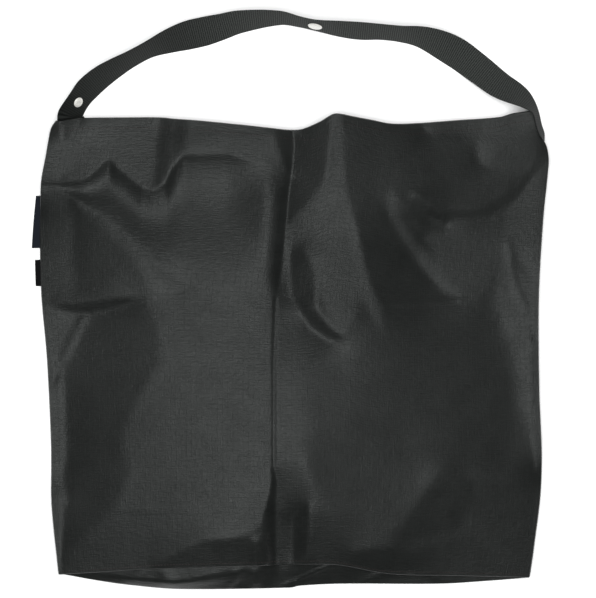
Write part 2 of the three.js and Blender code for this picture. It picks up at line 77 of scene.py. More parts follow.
def curve_through(rows, column=1):
    """A smooth curve through a table's rows, read at values of the table's first column."""
    table = np.array(rows, float)
    knots = table[:, 0]
    values = table[:, column]
    before = np.maximum(np.arange(len(knots)) - 1, 0)
    after = np.minimum(np.arange(len(knots)) + 1, len(knots) - 1)
    slopes = (values[after] - values[before]) / (knots[after] - knots[before])

    def read(position):
        at = np.clip(np.asarray(position, float), knots[0], knots[-1])
        i = np.clip(np.searchsorted(knots, at) - 1, 0, len(knots) - 2)
        span = knots[i + 1] - knots[i]
        t = (at - knots[i]) / span
        start = values[i] * (1 + 2 * t) * (1 - t) ** 2 + slopes[i] * span * t * (1 - t) ** 2
        end = values[i + 1] * t * t * (3 - 2 * t) + slopes[i + 1] * span * t * t * (t - 1)
        return start + end

    return read


left_at = curve_through(LEFT_EDGE)
right_at = curve_through(RIGHT_EDGE)
tab_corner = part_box("lower_tab")[0]
SHIFT = np.array([
    tab_corner.x - (float(left_at(LOWER_TAB["low"])) - LOWER_TAB["reach_low"]) * MM,
    tab_corner.y - LOWER_TAB["low"] * MM,
    0.0,
])


def in_frame(points):
    """Points of the drawing, in millimetres, as points of the frame, in metres."""
    return np.asarray(points, float) * MM + SHIFT


print("shift of the drawing, in millimetres", np.round(SHIFT / MM, 2))

# %% [markdown]
# # Camera
# The bag is seen from straight above. A camera at the origin already looks down with +Y upwards,
# so it only has to be lifted over the middle of the picture. The lens follows from the height
# of the camera and from how much of the table the picture shows.

# %% Camera over the bag
CAMERA_HEIGHT = 2.0
PICTURE_HEIGHT = 0.598
PICTURE_MIDDLE = (4, 289, 0)
SENSOR = 24.0


def add_object(name, data):
    """A new object of the scene."""
    made = bpy.data.objects.new(name, data)
    bpy.context.scene.collection.objects.link(made)
    return made


lens = bpy.data.cameras.new("camera")
lens.sensor_fit = "VERTICAL"
lens.sensor_height = SENSOR
lens.lens = SENSOR * CAMERA_HEIGHT / PICTURE_HEIGHT
camera = add_object("camera", lens)
camera.location = Vector(in_frame(PICTURE_MIDDLE)) + Vector((0, 0, CAMERA_HEIGHT))
bpy.context.scene.camera = camera
print("lens", round(lens.lens, 1), "mm")

# %% [markdown]
# # Shader maths as Python
# A finish is a small calculation on every point of a surface. Writing it node by node hides the idea,
# so this class wraps one socket: arithmetic on it adds Math nodes, and `node` adds any other node.

# %% Wires of a material
class Wire:
    """One socket of a material's node tree."""

    def __init__(self, tree, socket=None):
        self.tree = tree
        self.socket = socket

    def node(self, kind, sockets=None, output=0, **settings):
        """Adds a node: first its settings, then the values or links of its sockets."""
        made = self.tree.nodes.new(kind)
        for name, value in settings.items():
            setattr(made, name, value)
        for name, value in (sockets or {}).items():
            if isinstance(value, Wire):
                self.tree.links.new(value.socket, made.inputs[name])
            else:
                made.inputs[name].default_value = value
        return Wire(self.tree, made.outputs[output])

    def math(self, operation, first, second=0.0):
        return self.node("ShaderNodeMath", {0: first, 1: second}, operation=operation)

    def __add__(self, other):
        return self.math("ADD", self, other)

    __radd__ = __add__

    def __sub__(self, other):
        return self.math("SUBTRACT", self, other)

    def __mul__(self, other):
        return self.math("MULTIPLY", self, other)

    def __truediv__(self, other):
        return self.math("DIVIDE", self, other)


print("wires ready")

# %% Finishes from wires
def new_finish(name, **constants):
    """A material with one Principled shader, its constants set on the shader's own sockets."""
    material = bpy.data.materials.new(name)
    material.use_nodes = True
    tree = material.node_tree
    shader = tree.nodes["Principled BSDF"]
    for socket, value in constants.items():
        shader.inputs[socket.replace("_", " ")].default_value = value
    return material, Wire(tree), shader


def feed(shader, socket, wire):
    """Links a wire to one of the shader's sockets."""
    wire.tree.links.new(wire.socket, shader.inputs[socket])


def mixed(wire, share, first, second):
    """A colour between two colours: sockets 6 and 7 and output 2 are the Mix node's colours."""
    return wire.node("ShaderNodeMix", {"Factor": share, 6: first, 7: second}, 2, data_type="RGBA")


def noise(wire, place, scale, detail=3.0):
    """Soft random values from 0 to 1, with this many lumps in a metre."""
    return wire.node("ShaderNodeTexNoise", {"Vector": place, "Scale": scale, "Detail": detail})


def wave(wire, along, pitch):
    """A wave from -1 to 1 that repeats with this pitch, in metres."""
    return wire.math("SINE", along * (2 * math.pi / pitch))


def on_cloth(wire):
    """A point's place on the flat cloth, in metres, and its parts across and up."""
    place = wire.node("ShaderNodeUVMap", uv_map="cloth")
    across = wire.node("ShaderNodeSeparateXYZ", {0: place})
    up = Wire(wire.tree, across.socket.node.outputs[1])
    return place, across, up


def on_piece(wire):
    """A point's place in the piece's own coordinates."""
    return wire.node("ShaderNodeTexCoord", output="Object")


def ramped(wire, value, low, high, low_out=0.0, high_out=1.0):
    """A value carried smoothly from one range to another."""
    sockets = {"Value": value, "From Min": low, "From Max": high, "To Min": low_out, "To Max": high_out}
    return wire.node("ShaderNodeMapRange", sockets, interpolation_type="SMOOTHSTEP")


def bumped(wire, height, strength, distance):
    """A normal that a height of this many metres tilts."""
    return wire.node("ShaderNodeBump", {"Height": height, "Strength": strength, "Distance": distance})


print("shader helpers ready")

# %% [markdown]
# # Ripstop nylon
# Ripstop is a thin shiny plain weave with a thicker thread every few millimetres, which makes a faint
# grid. The grid lies in the cloth, so it reads the piece's own UV map, which holds metres along the
# cloth. The cloth is nearly black and gets its light parts from gloss alone, so the roughness matters
# more than the colour.

# %% Ripstop finish
RIPSTOP_PITCH = 5.25 * MM
RIPSTOP_THREAD = 0.8 * MM
YARN_LENGTH = 6.0
MOTTLE = 45.0
CRUMPLE = 160.0
YARN_GRAIN = 780.0


def grid_line(wire, along):
    """1 on the thick threads across one direction of the cloth, 0 between them."""
    phase = wire.math("FRACT", along / RIPSTOP_PITCH)
    from_line = wire.math("ABSOLUTE", phase - 0.5) * RIPSTOP_PITCH
    return ramped(wire, from_line, RIPSTOP_THREAD, 0.0)


def stretched(wire, across, up, length_across, length_up):
    """A place on the cloth whose noise is drawn out into streaks along the yarns."""
    return wire.node("ShaderNodeCombineXYZ", {0: across / length_across, 1: up / length_up})


def ripstop(name, colour, lighter):
    material, wire, shader = new_finish(name, Roughness=0.45)
    place, across, up = on_cloth(wire)
    threads = wire.math("MAXIMUM", grid_line(wire, across), grid_line(wire, up))
    mottle = noise(wire, place, MOTTLE, 4.0)
    crumple = noise(wire, place, CRUMPLE)
    weft = noise(wire, stretched(wire, across, up, YARN_LENGTH, 1.0), YARN_GRAIN, 2.0)
    warp = noise(wire, stretched(wire, across, up, 1.0, YARN_LENGTH), YARN_GRAIN, 2.0)
    shade = ramped(wire, mottle, 0.3, 0.7) * 0.4 + threads * 0.15 + ramped(wire, weft, 0.35, 0.65) * 0.45
    feed(shader, "Base Color", mixed(wire, shade, colour, lighter))
    feed(shader, "Roughness", 0.38 + threads * 0.04 - mottle * 0.05)
    relief = threads * 0.04 + crumple * 0.3 + weft * 0.4 + warp * 0.24
    feed(shader, "Normal", bumped(wire, relief, 0.5, MM))
    return material


nylon = ripstop("nylon", (0.006, 0.0067, 0.0063, 1), (0.011, 0.0121, 0.0115, 1))
print("finish", nylon.name)

# %% [markdown]
# # Table and light
# The table is plain and pale. A wide lamp lights it evenly but is hidden from gloss. A softbox near the
# camera gives the cloth its sheen: parts that face the camera mirror the softbox and turn light, parts
# that tilt away mirror the dark room.

# %% Table
FLOOR_SIZE = 6.0
FLOOR_DROP = 0.05 * MM
CLOUDS = 2.0

floor_mesh = bpy.data.meshes.new("floor")
half = FLOOR_SIZE / 2
floor_corners = [(-half, -half, 0), (half, -half, 0), (half, half, 0), (-half, half, 0)]
floor_mesh.from_pydata(floor_corners, [], [(0, 1, 2, 3)])
floor = add_object("floor", floor_mesh)
floor.location.z = -FLOOR_DROP
floor_finish, floor_wire, floor_shader = new_finish("pale_table", Roughness=0.9)
cloudy = noise(floor_wire, on_piece(floor_wire), CLOUDS)
feed(floor_shader, "Base Color", mixed(floor_wire, cloudy, (0.93, 0.93, 0.93, 1), (0.95, 0.95, 0.95, 1)))
floor_mesh.materials.append(floor_finish)
print("table", FLOOR_SIZE, "m wide")

# %% Lights
ROOM_LIGHT = 0.06


def area_light(name, size, power, place, tint=(1.0, 1.0, 1.0)):
    """A square lamp that shines straight down."""
    lamp = bpy.data.lights.new(name, "AREA")
    lamp.size = size
    lamp.energy = power
    lamp.color = tint
    light = add_object(name, lamp)
    light.location = place
    return light


wide_lamp = area_light("wide_lamp", size=3.0, power=125.0, place=(0.0, 0.0, 2.6))
wide_lamp.visible_glossy = False
softbox = area_light("softbox", size=0.7, power=7.3, place=(-0.22, -0.15, 2.4), tint=(0.955, 1.0, 0.98))

world = bpy.data.worlds.new("room")
world.use_nodes = True
room = world.node_tree.nodes["Background"].inputs
room["Color"].default_value = (1, 1, 1, 1)
room["Strength"].default_value = ROOM_LIGHT
bpy.context.scene.world = world
bpy.context.scene.view_settings.view_transform = "Standard"
print("lights", wide_lamp.name, softbox.name)

# %% [markdown]
# # Walls of cloth
# Each wall is a grid of points with two faces a cloth's thickness apart and a round rim.
# A Solidify modifier would give the same wall, but here the hem is thicker than the rest,
# so both faces are worked out and one function closes them.

# %% Closed walls from two grids
def smooth_mesh(name, points, faces, sharp):
    """A mesh that is shaded smooth, apart from edges sharper than an angle in degrees."""
    mesh = bpy.data.meshes.new(name)
    mesh.from_pydata(points, [], faces)
    mesh.polygons.foreach_set("use_smooth", np.ones(len(faces), bool))
    mesh.set_sharp_from_angle(angle=math.radians(sharp))
    mesh.update()
    return mesh


def wall_mesh(name, outer, inner, cloth, rim=0.3, sharp=35):
    """A closed wall between two grids of points, in the drawing's millimetres.

    outer, inner: rows x columns x 3, with the outer face's normals towards the viewer.
    cloth: rows x columns x 2, places on the flat cloth, in millimetres.
    rim: how far the edge bulges, as a share of the wall's thickness.
    sharp: the angle in degrees above which an edge is shaded as sharp.
    """
    rows, columns = outer.shape[:2]
    count = rows * columns
    index = np.arange(count).reshape(rows, columns)
    edge = np.concatenate([index[0, :-1], index[:-1, -1], index[-1, :0:-1], index[:0:-1, 0]])
    flat_outer = outer.reshape(-1, 3)
    flat_inner = inner.reshape(-1, 3)
    middle = (flat_outer[edge] + flat_inner[edge]) / 2
    along = np.roll(flat_outer[edge], -1, 0) - np.roll(flat_outer[edge], 1, 0)
    thick = flat_outer[edge] - flat_inner[edge]
    away = np.cross(along, thick)
    away /= np.maximum(np.linalg.norm(away, axis=1, keepdims=True), 1e-9)
    middle += away * rim * np.linalg.norm(thick, axis=1, keepdims=True)
    points = np.concatenate([flat_outer, flat_inner, middle])
    flat_cloth = cloth.reshape(-1, 2)
    places = np.concatenate([flat_cloth, flat_cloth, flat_cloth[edge]])
    corner = index[:-1, :-1].ravel()
    front = np.stack([corner, corner + 1, corner + columns + 1, corner + columns], 1)
    back = front[:, ::-1] + count
    ring = 2 * count + np.arange(len(edge))
    next_edge = np.roll(edge, -1)
    next_ring = np.roll(ring, -1)
    upper = np.stack([edge, ring, next_ring, next_edge], 1)
    lower = np.stack([ring, edge + count, next_edge + count, next_ring], 1)
    faces = np.concatenate([front, back, upper, lower])
    mesh = smooth_mesh(name, in_frame(points), faces.tolist(), sharp)
    layer = mesh.uv_layers.new(name="cloth")
    layer.data.foreach_set("uv", (places[faces.ravel()] * MM).astype(np.float32).ravel())
    return mesh


def place_piece(name, mesh, finish, node):
    """A piece with one finish, which stands for one of the bag's solids and hides that solid."""
    mesh.materials.append(finish)
    piece = add_object(name, mesh)
    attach(piece, "root")
    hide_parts(node)
    print(name, len(mesh.polygons), "faces")
    return piece


print("wall helpers ready")

# %% [markdown]
# # The front wall
# The front is one cloth sewn to the back along both sides. It stands off the back in soft folds, and
# these make the look. A cloth simulation would fall into folds of its own, so the folds are listed
# instead: creases split the cloth into facets, each facet leans its own way, and the heights that suit
# all leans best are found.

# %% Edges of the front
CLOTH = 1.2
GAP = 0.3
LAYER = CLOTH + GAP
SEAM_HEIGHT = LAYER + CLOTH
GUSSET_SEAM_HEIGHT = 6.9

# Mouth edge of the front: x, y, height
LIP = [
    (-231, 465, 19), (-213, 467.5, 19), (-163, 468.5, 17), (-132, 468.5, 17), (-118.5, 467, 18),
    (-93, 465, 20), (-43.5, 460, 21), (-12, 456.5, 19.5), (0, 456, 17.5), (9, 457, 18.5), (25.5, 463.5, 24),
    (39, 471, 28), (47, 471, 28), (57, 469, 26.5), (77, 465.5, 23.5), (97, 462, 20), (125, 463, 17),
    (164, 466, 15.5), (203.5, 468.7, 17), (217, 472.4, 18), (236.8, 475, 19),
]

# Bottom edge of the front: x, y, height
FRONT_BOTTOM = [
    (-234, 15, 8.1), (-190, 18, 12.5), (-139, 22, 17), (-80, 24, 20), (-30, 25, 17),
    (-18, 25, 12), (-6, 25.5, 11.5), (12, 26, 15.5), (37, 26, 16), (53, 24, 15), (95, 16, 11.5),
    (160, 14, 10), (234, 12, 8.1),
]

# Centre crease from an old fold: y, x
CREASE = [
    (25, -19), (118, -20), (229, -20), (291, -18), (349, -9), (372, -7), (404, -2), (442, 2), (456, -1),
]

lip_at = curve_through(LIP, 1)
lip_height = curve_through(LIP, 2)
front_bottom_at = curve_through(FRONT_BOTTOM, 1)
front_bottom_height = curve_through(FRONT_BOTTOM, 2)
crease_at = curve_through(CREASE)
print("mouth edge stands", LIP[0][2], "mm high at its left end")

# %% Facets of the front
# Each facet: rise to the right, rise towards the mouth, softness of its edge, outline of x and y
FACETS = {
    "left_side": (0.16, -0.02, 4, [(-258, 288), (-242, 272), (-210, 270), (-183, 277), (-147, 288),
        (-133, 264), (-130, 240), (-126, 228), (-137, 214), (-153, 187), (-165, 161), (-171, 143),
        (-158, 121), (-170, 92), (-191, 67), (-219, 42), (-232, 22), (-254, -2)]),
    "left_plateau": (0.07, 0, 4, [(-145, 296), (-102, 302), (-54, 320), (-26, 306), (-20, 288), (-21, 108),
        (-32, 83), (-73, 80), (-173, 81), (-170, 92), (-158, 121), (-171, 143), (-165, 161), (-153, 187),
        (-137, 214), (-126, 228), (-130, 240), (-133, 264)]),
    "right_strip": (-0.09, 0, 7, [(-17, 288), (-10, 288), (6, 248), (51, 243), (58, 216), (46, 168),
        (28, 128), (36, 88), (16, 86), (1, 72), (-17, 108)]),
    "right_of_crease": (0.03, 0.03, 9, [(-16, 288), (-13, 326), (-7, 345), (-3, 338), (-4, 303), (-3, 288),
        (8, 276), (12, 258), (10, 208), (6, 148), (-2, 88), (-17, 108)]),
    "sliver": (0.05, 0.12, 2, [(-13, 288), (-12, 326), (-7, 345), (-2, 338), (-4, 303), (-2, 288)]),
    "left_upper": (0.12, 0.03, 3, [(-258, 402), (-223, 394), (-167, 349), (-149, 329), (-145, 290),
        (-163, 290), (-242, 285), (-258, 288)]),
    "under_zigzag": (0.02, -0.02, 4, [(-210, 404), (-182, 430), (-140, 396), (-108, 432), (-48, 428),
        (-21, 419), (-6, 410), (-24, 373), (-28, 338), (-26, 306), (-54, 320), (-84, 313), (-102, 302),
        (-120, 313), (-151, 331), (-167, 349), (-223, 394)]),
    "above_diagonal": (-0.18, 0.16, 2, [(-216, 392), (-197, 382), (-182, 375), (-170, 365), (-157, 351),
        (-144, 334), (-131, 322), (-114, 314), (-102, 302), (-118, 297), (-134, 305), (-146, 315),
        (-158, 328), (-170, 340), (-184, 354), (-197, 365), (-214, 378)]),
    "left_lens": (-0.02, 0.36, 1.5, [(-244, 285), (-210, 287), (-163, 291), (-152, 289), (-183, 279),
        (-210, 273), (-232, 276)]),
    "edge_triangle": (0.04, 0, 1.5, [(-254, 282), (-232, 276), (-210, 271), (-211, 264), (-216, 246),
        (-228, 228), (-242, 210), (-256, 210)]),
    "corner_strip": (-0.08, 0.12, 3, [(-236, 470), (-210, 470), (-210, 416), (-223, 394), (-258, 402),
        (-254, 438)]),
    "corner_dark": (0.3, 0.16, 2, [(-232, 468), (-206, 471), (-214, 460), (-220, 448), (-230, 448)]),
    "top_band": (0, -0.03, 3, [(-206, 471), (-129, 471), (-134, 460), (-137, 435), (-140, 397), (-152, 401),
        (-163, 410), (-174, 421), (-182, 431), (-192, 424), (-201, 412), (-210, 406), (-230, 405),
        (-216, 460)]),
    "dart": (0.21, 0, 2, [(-131, 470), (-118, 470), (-122, 448), (-124, 423), (-131, 404), (-139, 398),
        (-137, 435), (-134, 460)]),
    "dart_soft": (0.28, 0, 5, [(-118, 470), (-98, 468), (-104, 448), (-108, 434), (-116, 430), (-124, 420),
        (-122, 448)]),
    "hem_right": (0.06, -0.04, 5, [(-104, 468), (-44, 462), (-11, 458), (-10, 438), (-21, 446), (-32, 449),
        (-66, 448), (-104, 442)]),
    "crease_top_left": (-0.33, 0, 2, [(-19, 456), (0, 454), (0, 438), (-3, 412), (-7, 416), (-12, 433),
        (-18, 445)]),
    "crease_band": (-0.25, 0, 3, [(-26, 408), (-5, 410), (-6, 388), (-8, 363), (-10, 343), (-17, 298),
        (-18, 289), (-24, 308), (-28, 348)]),
    "crease_dark": (-0.6, 0, 1.5, [(-16, 398), (-4, 408), (-7, 372), (-9.5, 349), (-17, 296), (-20, 318),
        (-18, 363)]),
    "ridge_side": (0.27, 0.05, 1.5, [(-1, 454), (9, 457), (26, 466), (39, 473), (35, 438), (31, 403),
        (-7, 363), (-6, 388), (-2, 416), (1, 441)]),
    "ridge_top": (0.03, -0.02, 1.5, [(41, 473), (44.5, 473), (47, 434), (51, 390), (31, 401), (36, 434)]),
    "plateau": (0.17, 0.05, 1.5, [(31, 402), (53, 390), (61, 363), (69, 336), (77, 305), (86, 285),
        (92, 258), (84, 262), (68, 285), (56, 266), (50, 251), (34, 268), (25, 288), (22, 310), (16, 334),
        (8, 344), (-8.5, 349), (-7, 363)]),
    "plateau_high": (0.02, 0.05, 1.5, [(31, 402), (53, 390), (59, 363), (53, 338), (24, 330), (16, 334),
        (8, 344), (-8.5, 349), (-7, 363)]),
    "s_lobe": (0.46, 0, 1.5, [(-2, 341), (8, 339), (16, 331), (21, 318), (22, 293), (24, 276), (29, 267),
        (6, 279), (-3, 288), (-4, 303), (-4, 326)]),
    "s_lobe_foot": (0.24, 0.47, 1.5, [(6, 280), (24, 278), (30, 268), (38, 260), (50, 251), (46, 246),
        (31, 250), (18, 259), (10, 269)]),
    "right_of_ridge": (-0.12, -0.02, 1.5, [(47, 473), (58, 473), (78, 469), (98, 465), (126, 465),
        (130, 452), (124, 438), (102, 422), (94, 390), (91, 382), (102, 360), (111, 341), (131, 313),
        (148, 297), (167, 288), (142, 291), (89, 285), (86, 285), (77, 305), (69, 336), (61, 363),
        (53, 390), (50, 434)]),
    "right_dark_low": (-0.06, 0.02, 1.5, [(72, 336), (91, 356), (104, 343), (118, 323), (136, 305),
        (168, 288), (86, 288), (78, 313)]),
    "hem_far_right": (0.2, 0.04, 2, [(126, 465), (184, 470), (184, 447), (156, 444), (130, 451)]),
    "right_field": (-0.11, 0.03, 4, [(102, 422), (124, 438), (156, 444), (182, 438), (187, 422), (214, 418),
        (236, 426), (218, 398), (185, 378), (156, 378), (126, 391), (96, 388)]),
    "corner_light": (0.22, 0.1, 1.5, [(184, 470), (206, 472), (220, 476), (236, 480), (242, 458),
        (214, 446), (198, 427), (187, 423), (181, 431), (182, 447)]),
    "corner_lower": (0.16, 0.1, 2, [(198, 427), (214, 446), (242, 458), (246, 442), (239, 427), (214, 419),
        (198, 419), (187, 423)]),
    "right_side_light": (0.26, 0.08, 3, [(254, 428), (254, 388), (247, 358), (243, 326), (236, 308),
        (226, 286), (203, 286), (200, 328), (203, 358), (214, 383), (239, 416)]),
    "dark_band": (0.05, 0.27, 2, [(152, 378), (185, 379), (206, 392), (219, 399), (236, 422), (241, 416),
        (222, 388), (201, 372), (185, 366), (161, 367)]),
    "right_mid": (0.24, 0.06, 3, [(131, 348), (161, 366), (185, 366), (206, 373), (209, 343), (206, 326),
        (193, 297), (176, 288), (167, 289), (148, 303)]),
    "trough_a": (-0.26, 0.5, 1.5, [(98, 392), (106, 388), (132, 352), (126, 348), (108, 370)]),
    "trough_b": (-0.3, 0.75, 1.5, [(116, 392), (126, 389), (154, 367), (152, 362), (134, 372)]),
    "right_low_side": (0.12, 0, 5, [(193, 297), (218, 326), (233, 298), (242, 276), (246, 240), (246, 158),
        (231, 158), (218, 188), (208, 248)]),
    "right_wedge": (0.12, 0.02, 1.5, [(218, 332), (228, 324), (243, 303), (245, 276), (242, 276),
        (233, 299)]),
    "lower_right": (-0.12, -0.02, 8, [(51, 243), (92, 257), (87, 284), (167, 287), (193, 296), (206, 248),
        (221, 238), (221, 168), (206, 118), (186, 68), (161, 56), (105, 64), (56, 66), (36, 88), (28, 128),
        (46, 168), (58, 216)]),
    "dark_triangle": (-0.19, 0.24, 5, [(147, 123), (105, 64), (101, 46), (161, 54), (176, 68), (171, 93)]),
    "bottom_right": (-0.06, 0.2, 4, [(176, 113), (248, 110), (246, 88), (240, 38), (236, 10), (131, 13),
        (118, 40), (161, 54), (179, 83)]),
    "bottom_right_strip": (0.05, 0.35, 3, [(56, 36), (86, 42), (118, 40), (131, 20), (95, 16), (53, 22)]),
    "bottom_right_mid": (0.03, 0.04, 3, [(12, 26), (15, 68), (17, 84), (43, 66), (53, 54), (56, 26)]),
    "bottom_trough": (0.6, 0.05, 1.5, [(-3, 26), (-2, 73), (4, 82), (14, 87), (15, 68), (12, 26)]),
    "bottom_left": (-0.02, 0, 4, [(-232, 22), (-219, 42), (-191, 67), (-173, 81), (-73, 80), (-32, 83),
        (-32, 68), (-46, 54), (-91, 51), (-113, 40), (-137, 26), (-144, 16), (-234, 12)]),
    "bottom_wedge": (0.03, 0.32, 2, [(-137, 26), (-113, 40), (-91, 51), (-46, 54), (-30, 70), (-24, 93),
        (-20, 108), (-20, 22), (-144, 16)]),
    "crease_black": (-0.85, 0, 1.2, [(-28, 76), (-23, 98), (-20, 118), (-18.5, 118), (-18.5, 24),
        (-28, 24)]),
    "channel": (0, 0.14, 2, [(-18, 88), (-10, 78), (-3, 74), (-3, 24), (-18, 24)]),
    "left_rim": (-0.26, -0.03, 3, [(-254, 212), (-232, 228), (-230, 188), (-229, 128), (-231, 68),
        (-232, 10), (-250, 8), (-254, 138)]),
    "right_rim": (0.22, 0, 2, [(256, 438), (247, 398), (237, 326), (234, 288), (236, 238), (236, 163),
        (239, 118), (254, 118), (256, 288)]),
    "right_low_strip": (-0.19, -0.02, 6, [(10, 143), (51, 156), (106, 143), (126, 108), (105, 64), (58, 68),
        (36, 83), (18, 88)]),
    "streak_a": (0.32, 0.1, 3, [(91, 382), (98, 382), (111, 358), (131, 338), (153, 308), (168, 289),
        (148, 297), (131, 313), (111, 341), (102, 360)]),
    "above_trough": (0.03, 0.08, 3, [(-17, 126), (8, 133), (20, 91), (6, 85), (-4, 77), (-17, 88)]),
    "left_upper_edge": (0, 0.02, 3, [(-258, 398), (-234, 396), (-220, 380), (-218, 288), (-242, 285),
        (-258, 288)]),
    "low_crease": (-0.07, -0.02, 1.5, [(90, 284), (168, 287), (170, 274), (92, 268)]),
}

# Each ripple is a small crest or trough: half its width, its height, points of x and y
RIPPLES = {
    "left_edge_ridge": (4.5, 0.6, [(-210, 269), (-217, 256), (-224, 241), (-231, 226), (-240, 208)]),
    "left_diagonal": (5, 0.2, [(-223, 394), (-170, 356), (-152, 332), (-138, 325), (-106, 304)]),
    "bottom_column": (6, 1.8, [(-37, 48), (-37, 18)]),
    "lower_crease": (2, -0.6, [(-18, 289), (-20, 229), (-20, 113)]),
    "flat_fold": (3, 0.2, [(-176, 80), (-70, 80)]),
    "right_line": (4, 0.4, [(213, 345), (220, 305), (231, 278), (240, 250)]),
    "right_crease": (2.5, 0.35, [(89, 283.5), (116, 285), (146, 286.5), (168, 288)]),
}

print(len(FACETS), "facets and", len(RIPPLES), "ripples")

# %% Heights along the seams
CURL_START = np.array([-250.0, 380.0])
CURL_END = np.array([-208.0, 470.0])
CURL_SLOPE = 0.5
LEFT_LIFT_SPAN = (380, 467)
LEFT_LIFT = 4.8
SEAM_ROLL = 1.2
SIDE_LIFT = 6.5
SIDE_LIFT_WIDTH = 45.0
SIDE_LIFT_START = (85, 150)
SIDE_LIFT_END = (420, 460)
GUSSET_FADE = (30, 76)
GUSSET_SEAM_END = (85, 120)
RIGHT_CORNER_RISE = (405, 470)


def eased(value, low, high):
    """0 below low, 1 above high, smooth between."""
    t = np.clip((value - low) / (high - low), 0, 1)
    return t * t * (3 - 2 * t)


def corner_curl(x, y):
    """How far the stiff strap lifts the left top corner."""
    line = (CURL_END - CURL_START) / np.linalg.norm(CURL_END - CURL_START)
    beyond = (y - CURL_START[1]) * line[0] - (x - CURL_START[0]) * line[1]
    return np.maximum(beyond, 0) * CURL_SLOPE


def side_lift(x, y):
    """How far the right edge lifts off the table."""
    near_edge = np.clip(1 - (right_at(y) - x) / SIDE_LIFT_WIDTH, 0, 1)
    return SIDE_LIFT * near_edge ** 2 * eased(y, *SIDE_LIFT_START) * (1 - eased(y, *SIDE_LIFT_END))


def plain_seam(y):
    """Height of a plain side seam, which is thicker where the gusset is sewn in."""
    return GUSSET_SEAM_HEIGHT + (SEAM_HEIGHT - GUSSET_SEAM_HEIGHT) * eased(y, *GUSSET_SEAM_END)


def seam_height(x, y):
    """Height of the front's outer face along the side seams."""
    plain = plain_seam(y) + SEAM_ROLL
    lifted = np.clip((y - LEFT_LIFT_SPAN[0]) / np.ptp(LEFT_LIFT_SPAN), 0, 1)
    left = plain + LEFT_LIFT * lifted + corner_curl(x, y)
    right = plain + side_lift(x, y)
    right = right + (LIP[-1][2] - right) * eased(y, *RIGHT_CORNER_RISE)
    return np.where(x < 0, left, right)


def gusset_rise(x):
    """How far the open gusset lifts the front's bottom edge."""
    return front_bottom_height(x) - GUSSET_SEAM_HEIGHT - SEAM_ROLL


print("seams ready")

# %% Grid of the front
FRONT_ROWS = 184
CREASE_MARGIN = 0.035
CREASE_COLUMNS = 8
LEFT_COLUMNS = 88
RIGHT_COLUMNS = 102
CREASE_ROUNDS = 8


def column_shares(columns):
    """Shares of the way across one half, with close columns at its crease and at its seam."""
    near = np.linspace(0, CREASE_MARGIN, CREASE_COLUMNS)
    return np.r_[near[:-1], np.linspace(CREASE_MARGIN, 1 - CREASE_MARGIN, columns)[:-1], 1 - near[::-1]]


left_share = column_shares(LEFT_COLUMNS)
right_share = column_shares(RIGHT_COLUMNS)[1:]


def crease_plan(rows):
    """Plan of the front's grid: one column follows the centre crease, its neighbours lie close to it."""
    v = np.linspace(0, 1, rows)[:, None]
    x = np.r_[LEFT_EDGE[0][1] * (1 - left_share), RIGHT_EDGE[0][1] * right_share][None, :]
    for _ in range(CREASE_ROUNDS):
        y = front_bottom_at(x) + (lip_at(x) - front_bottom_at(x)) * v
        crease = crease_at(y)
        left_side = left_at(y) + (crease - left_at(y)) * np.r_[left_share, 0 * right_share]
        right_side = crease + (right_at(y) - crease) * np.r_[0 * left_share, right_share]
        x = np.where(np.arange(x.shape[1]) < len(left_share), left_side, right_side)
    return x, y


front_x, front_y = crease_plan(FRONT_ROWS)
print("front grid", front_x.shape)

# %% Leans of the facets
def inside(x, y, outline):
    """Which points lie inside an outline."""
    corners = np.array(outline, float)
    odd = np.zeros(x.shape, bool)
    for (ax, ay), (bx, by) in zip(corners, np.roll(corners, -1, 0)):
        crossing = (ay > y) != (by > y)
        slope = (bx - ax) / (by - ay) if by != ay else 0.0
        odd ^= crossing & (x < ax + (y - ay) * slope)
    return odd


def softened(grid, passes):
    """A grid blurred a little in each pass."""
    for _ in range(passes):
        wide = np.pad(grid, ((0, 0), (1, 1)), "edge")
        grid = 0.25 * wide[:, :-2] + 0.5 * wide[:, 1:-1] + 0.25 * wide[:, 2:]
        tall = np.pad(grid, ((1, 1), (0, 0)), "edge")
        grid = 0.25 * tall[:-2] + 0.5 * tall[1:-1] + 0.25 * tall[2:]
    return grid


def facet_leans(x, y, facets):
    """Rise to the right and rise towards the mouth, at each point of a grid."""
    step = (y[1:] - y[:-1]).mean()
    right = np.zeros(x.shape)
    up = np.zeros(x.shape)
    for lean_right, lean_up, softness, outline in facets.values():
        passes = max(1, round(2 * (softness / step) ** 2))
        share = softened(inside(x, y, outline).astype(float), passes)
        right += (lean_right - right) * share
        up += (lean_up - up) * share
    return right, up


lean_right, lean_up = facet_leans(front_x, front_y, FACETS)
print("steepest lean", round(float(np.hypot(lean_right, lean_up).max()), 2))

# %% Heights that suit the leans
SOLVE_STEPS = 700


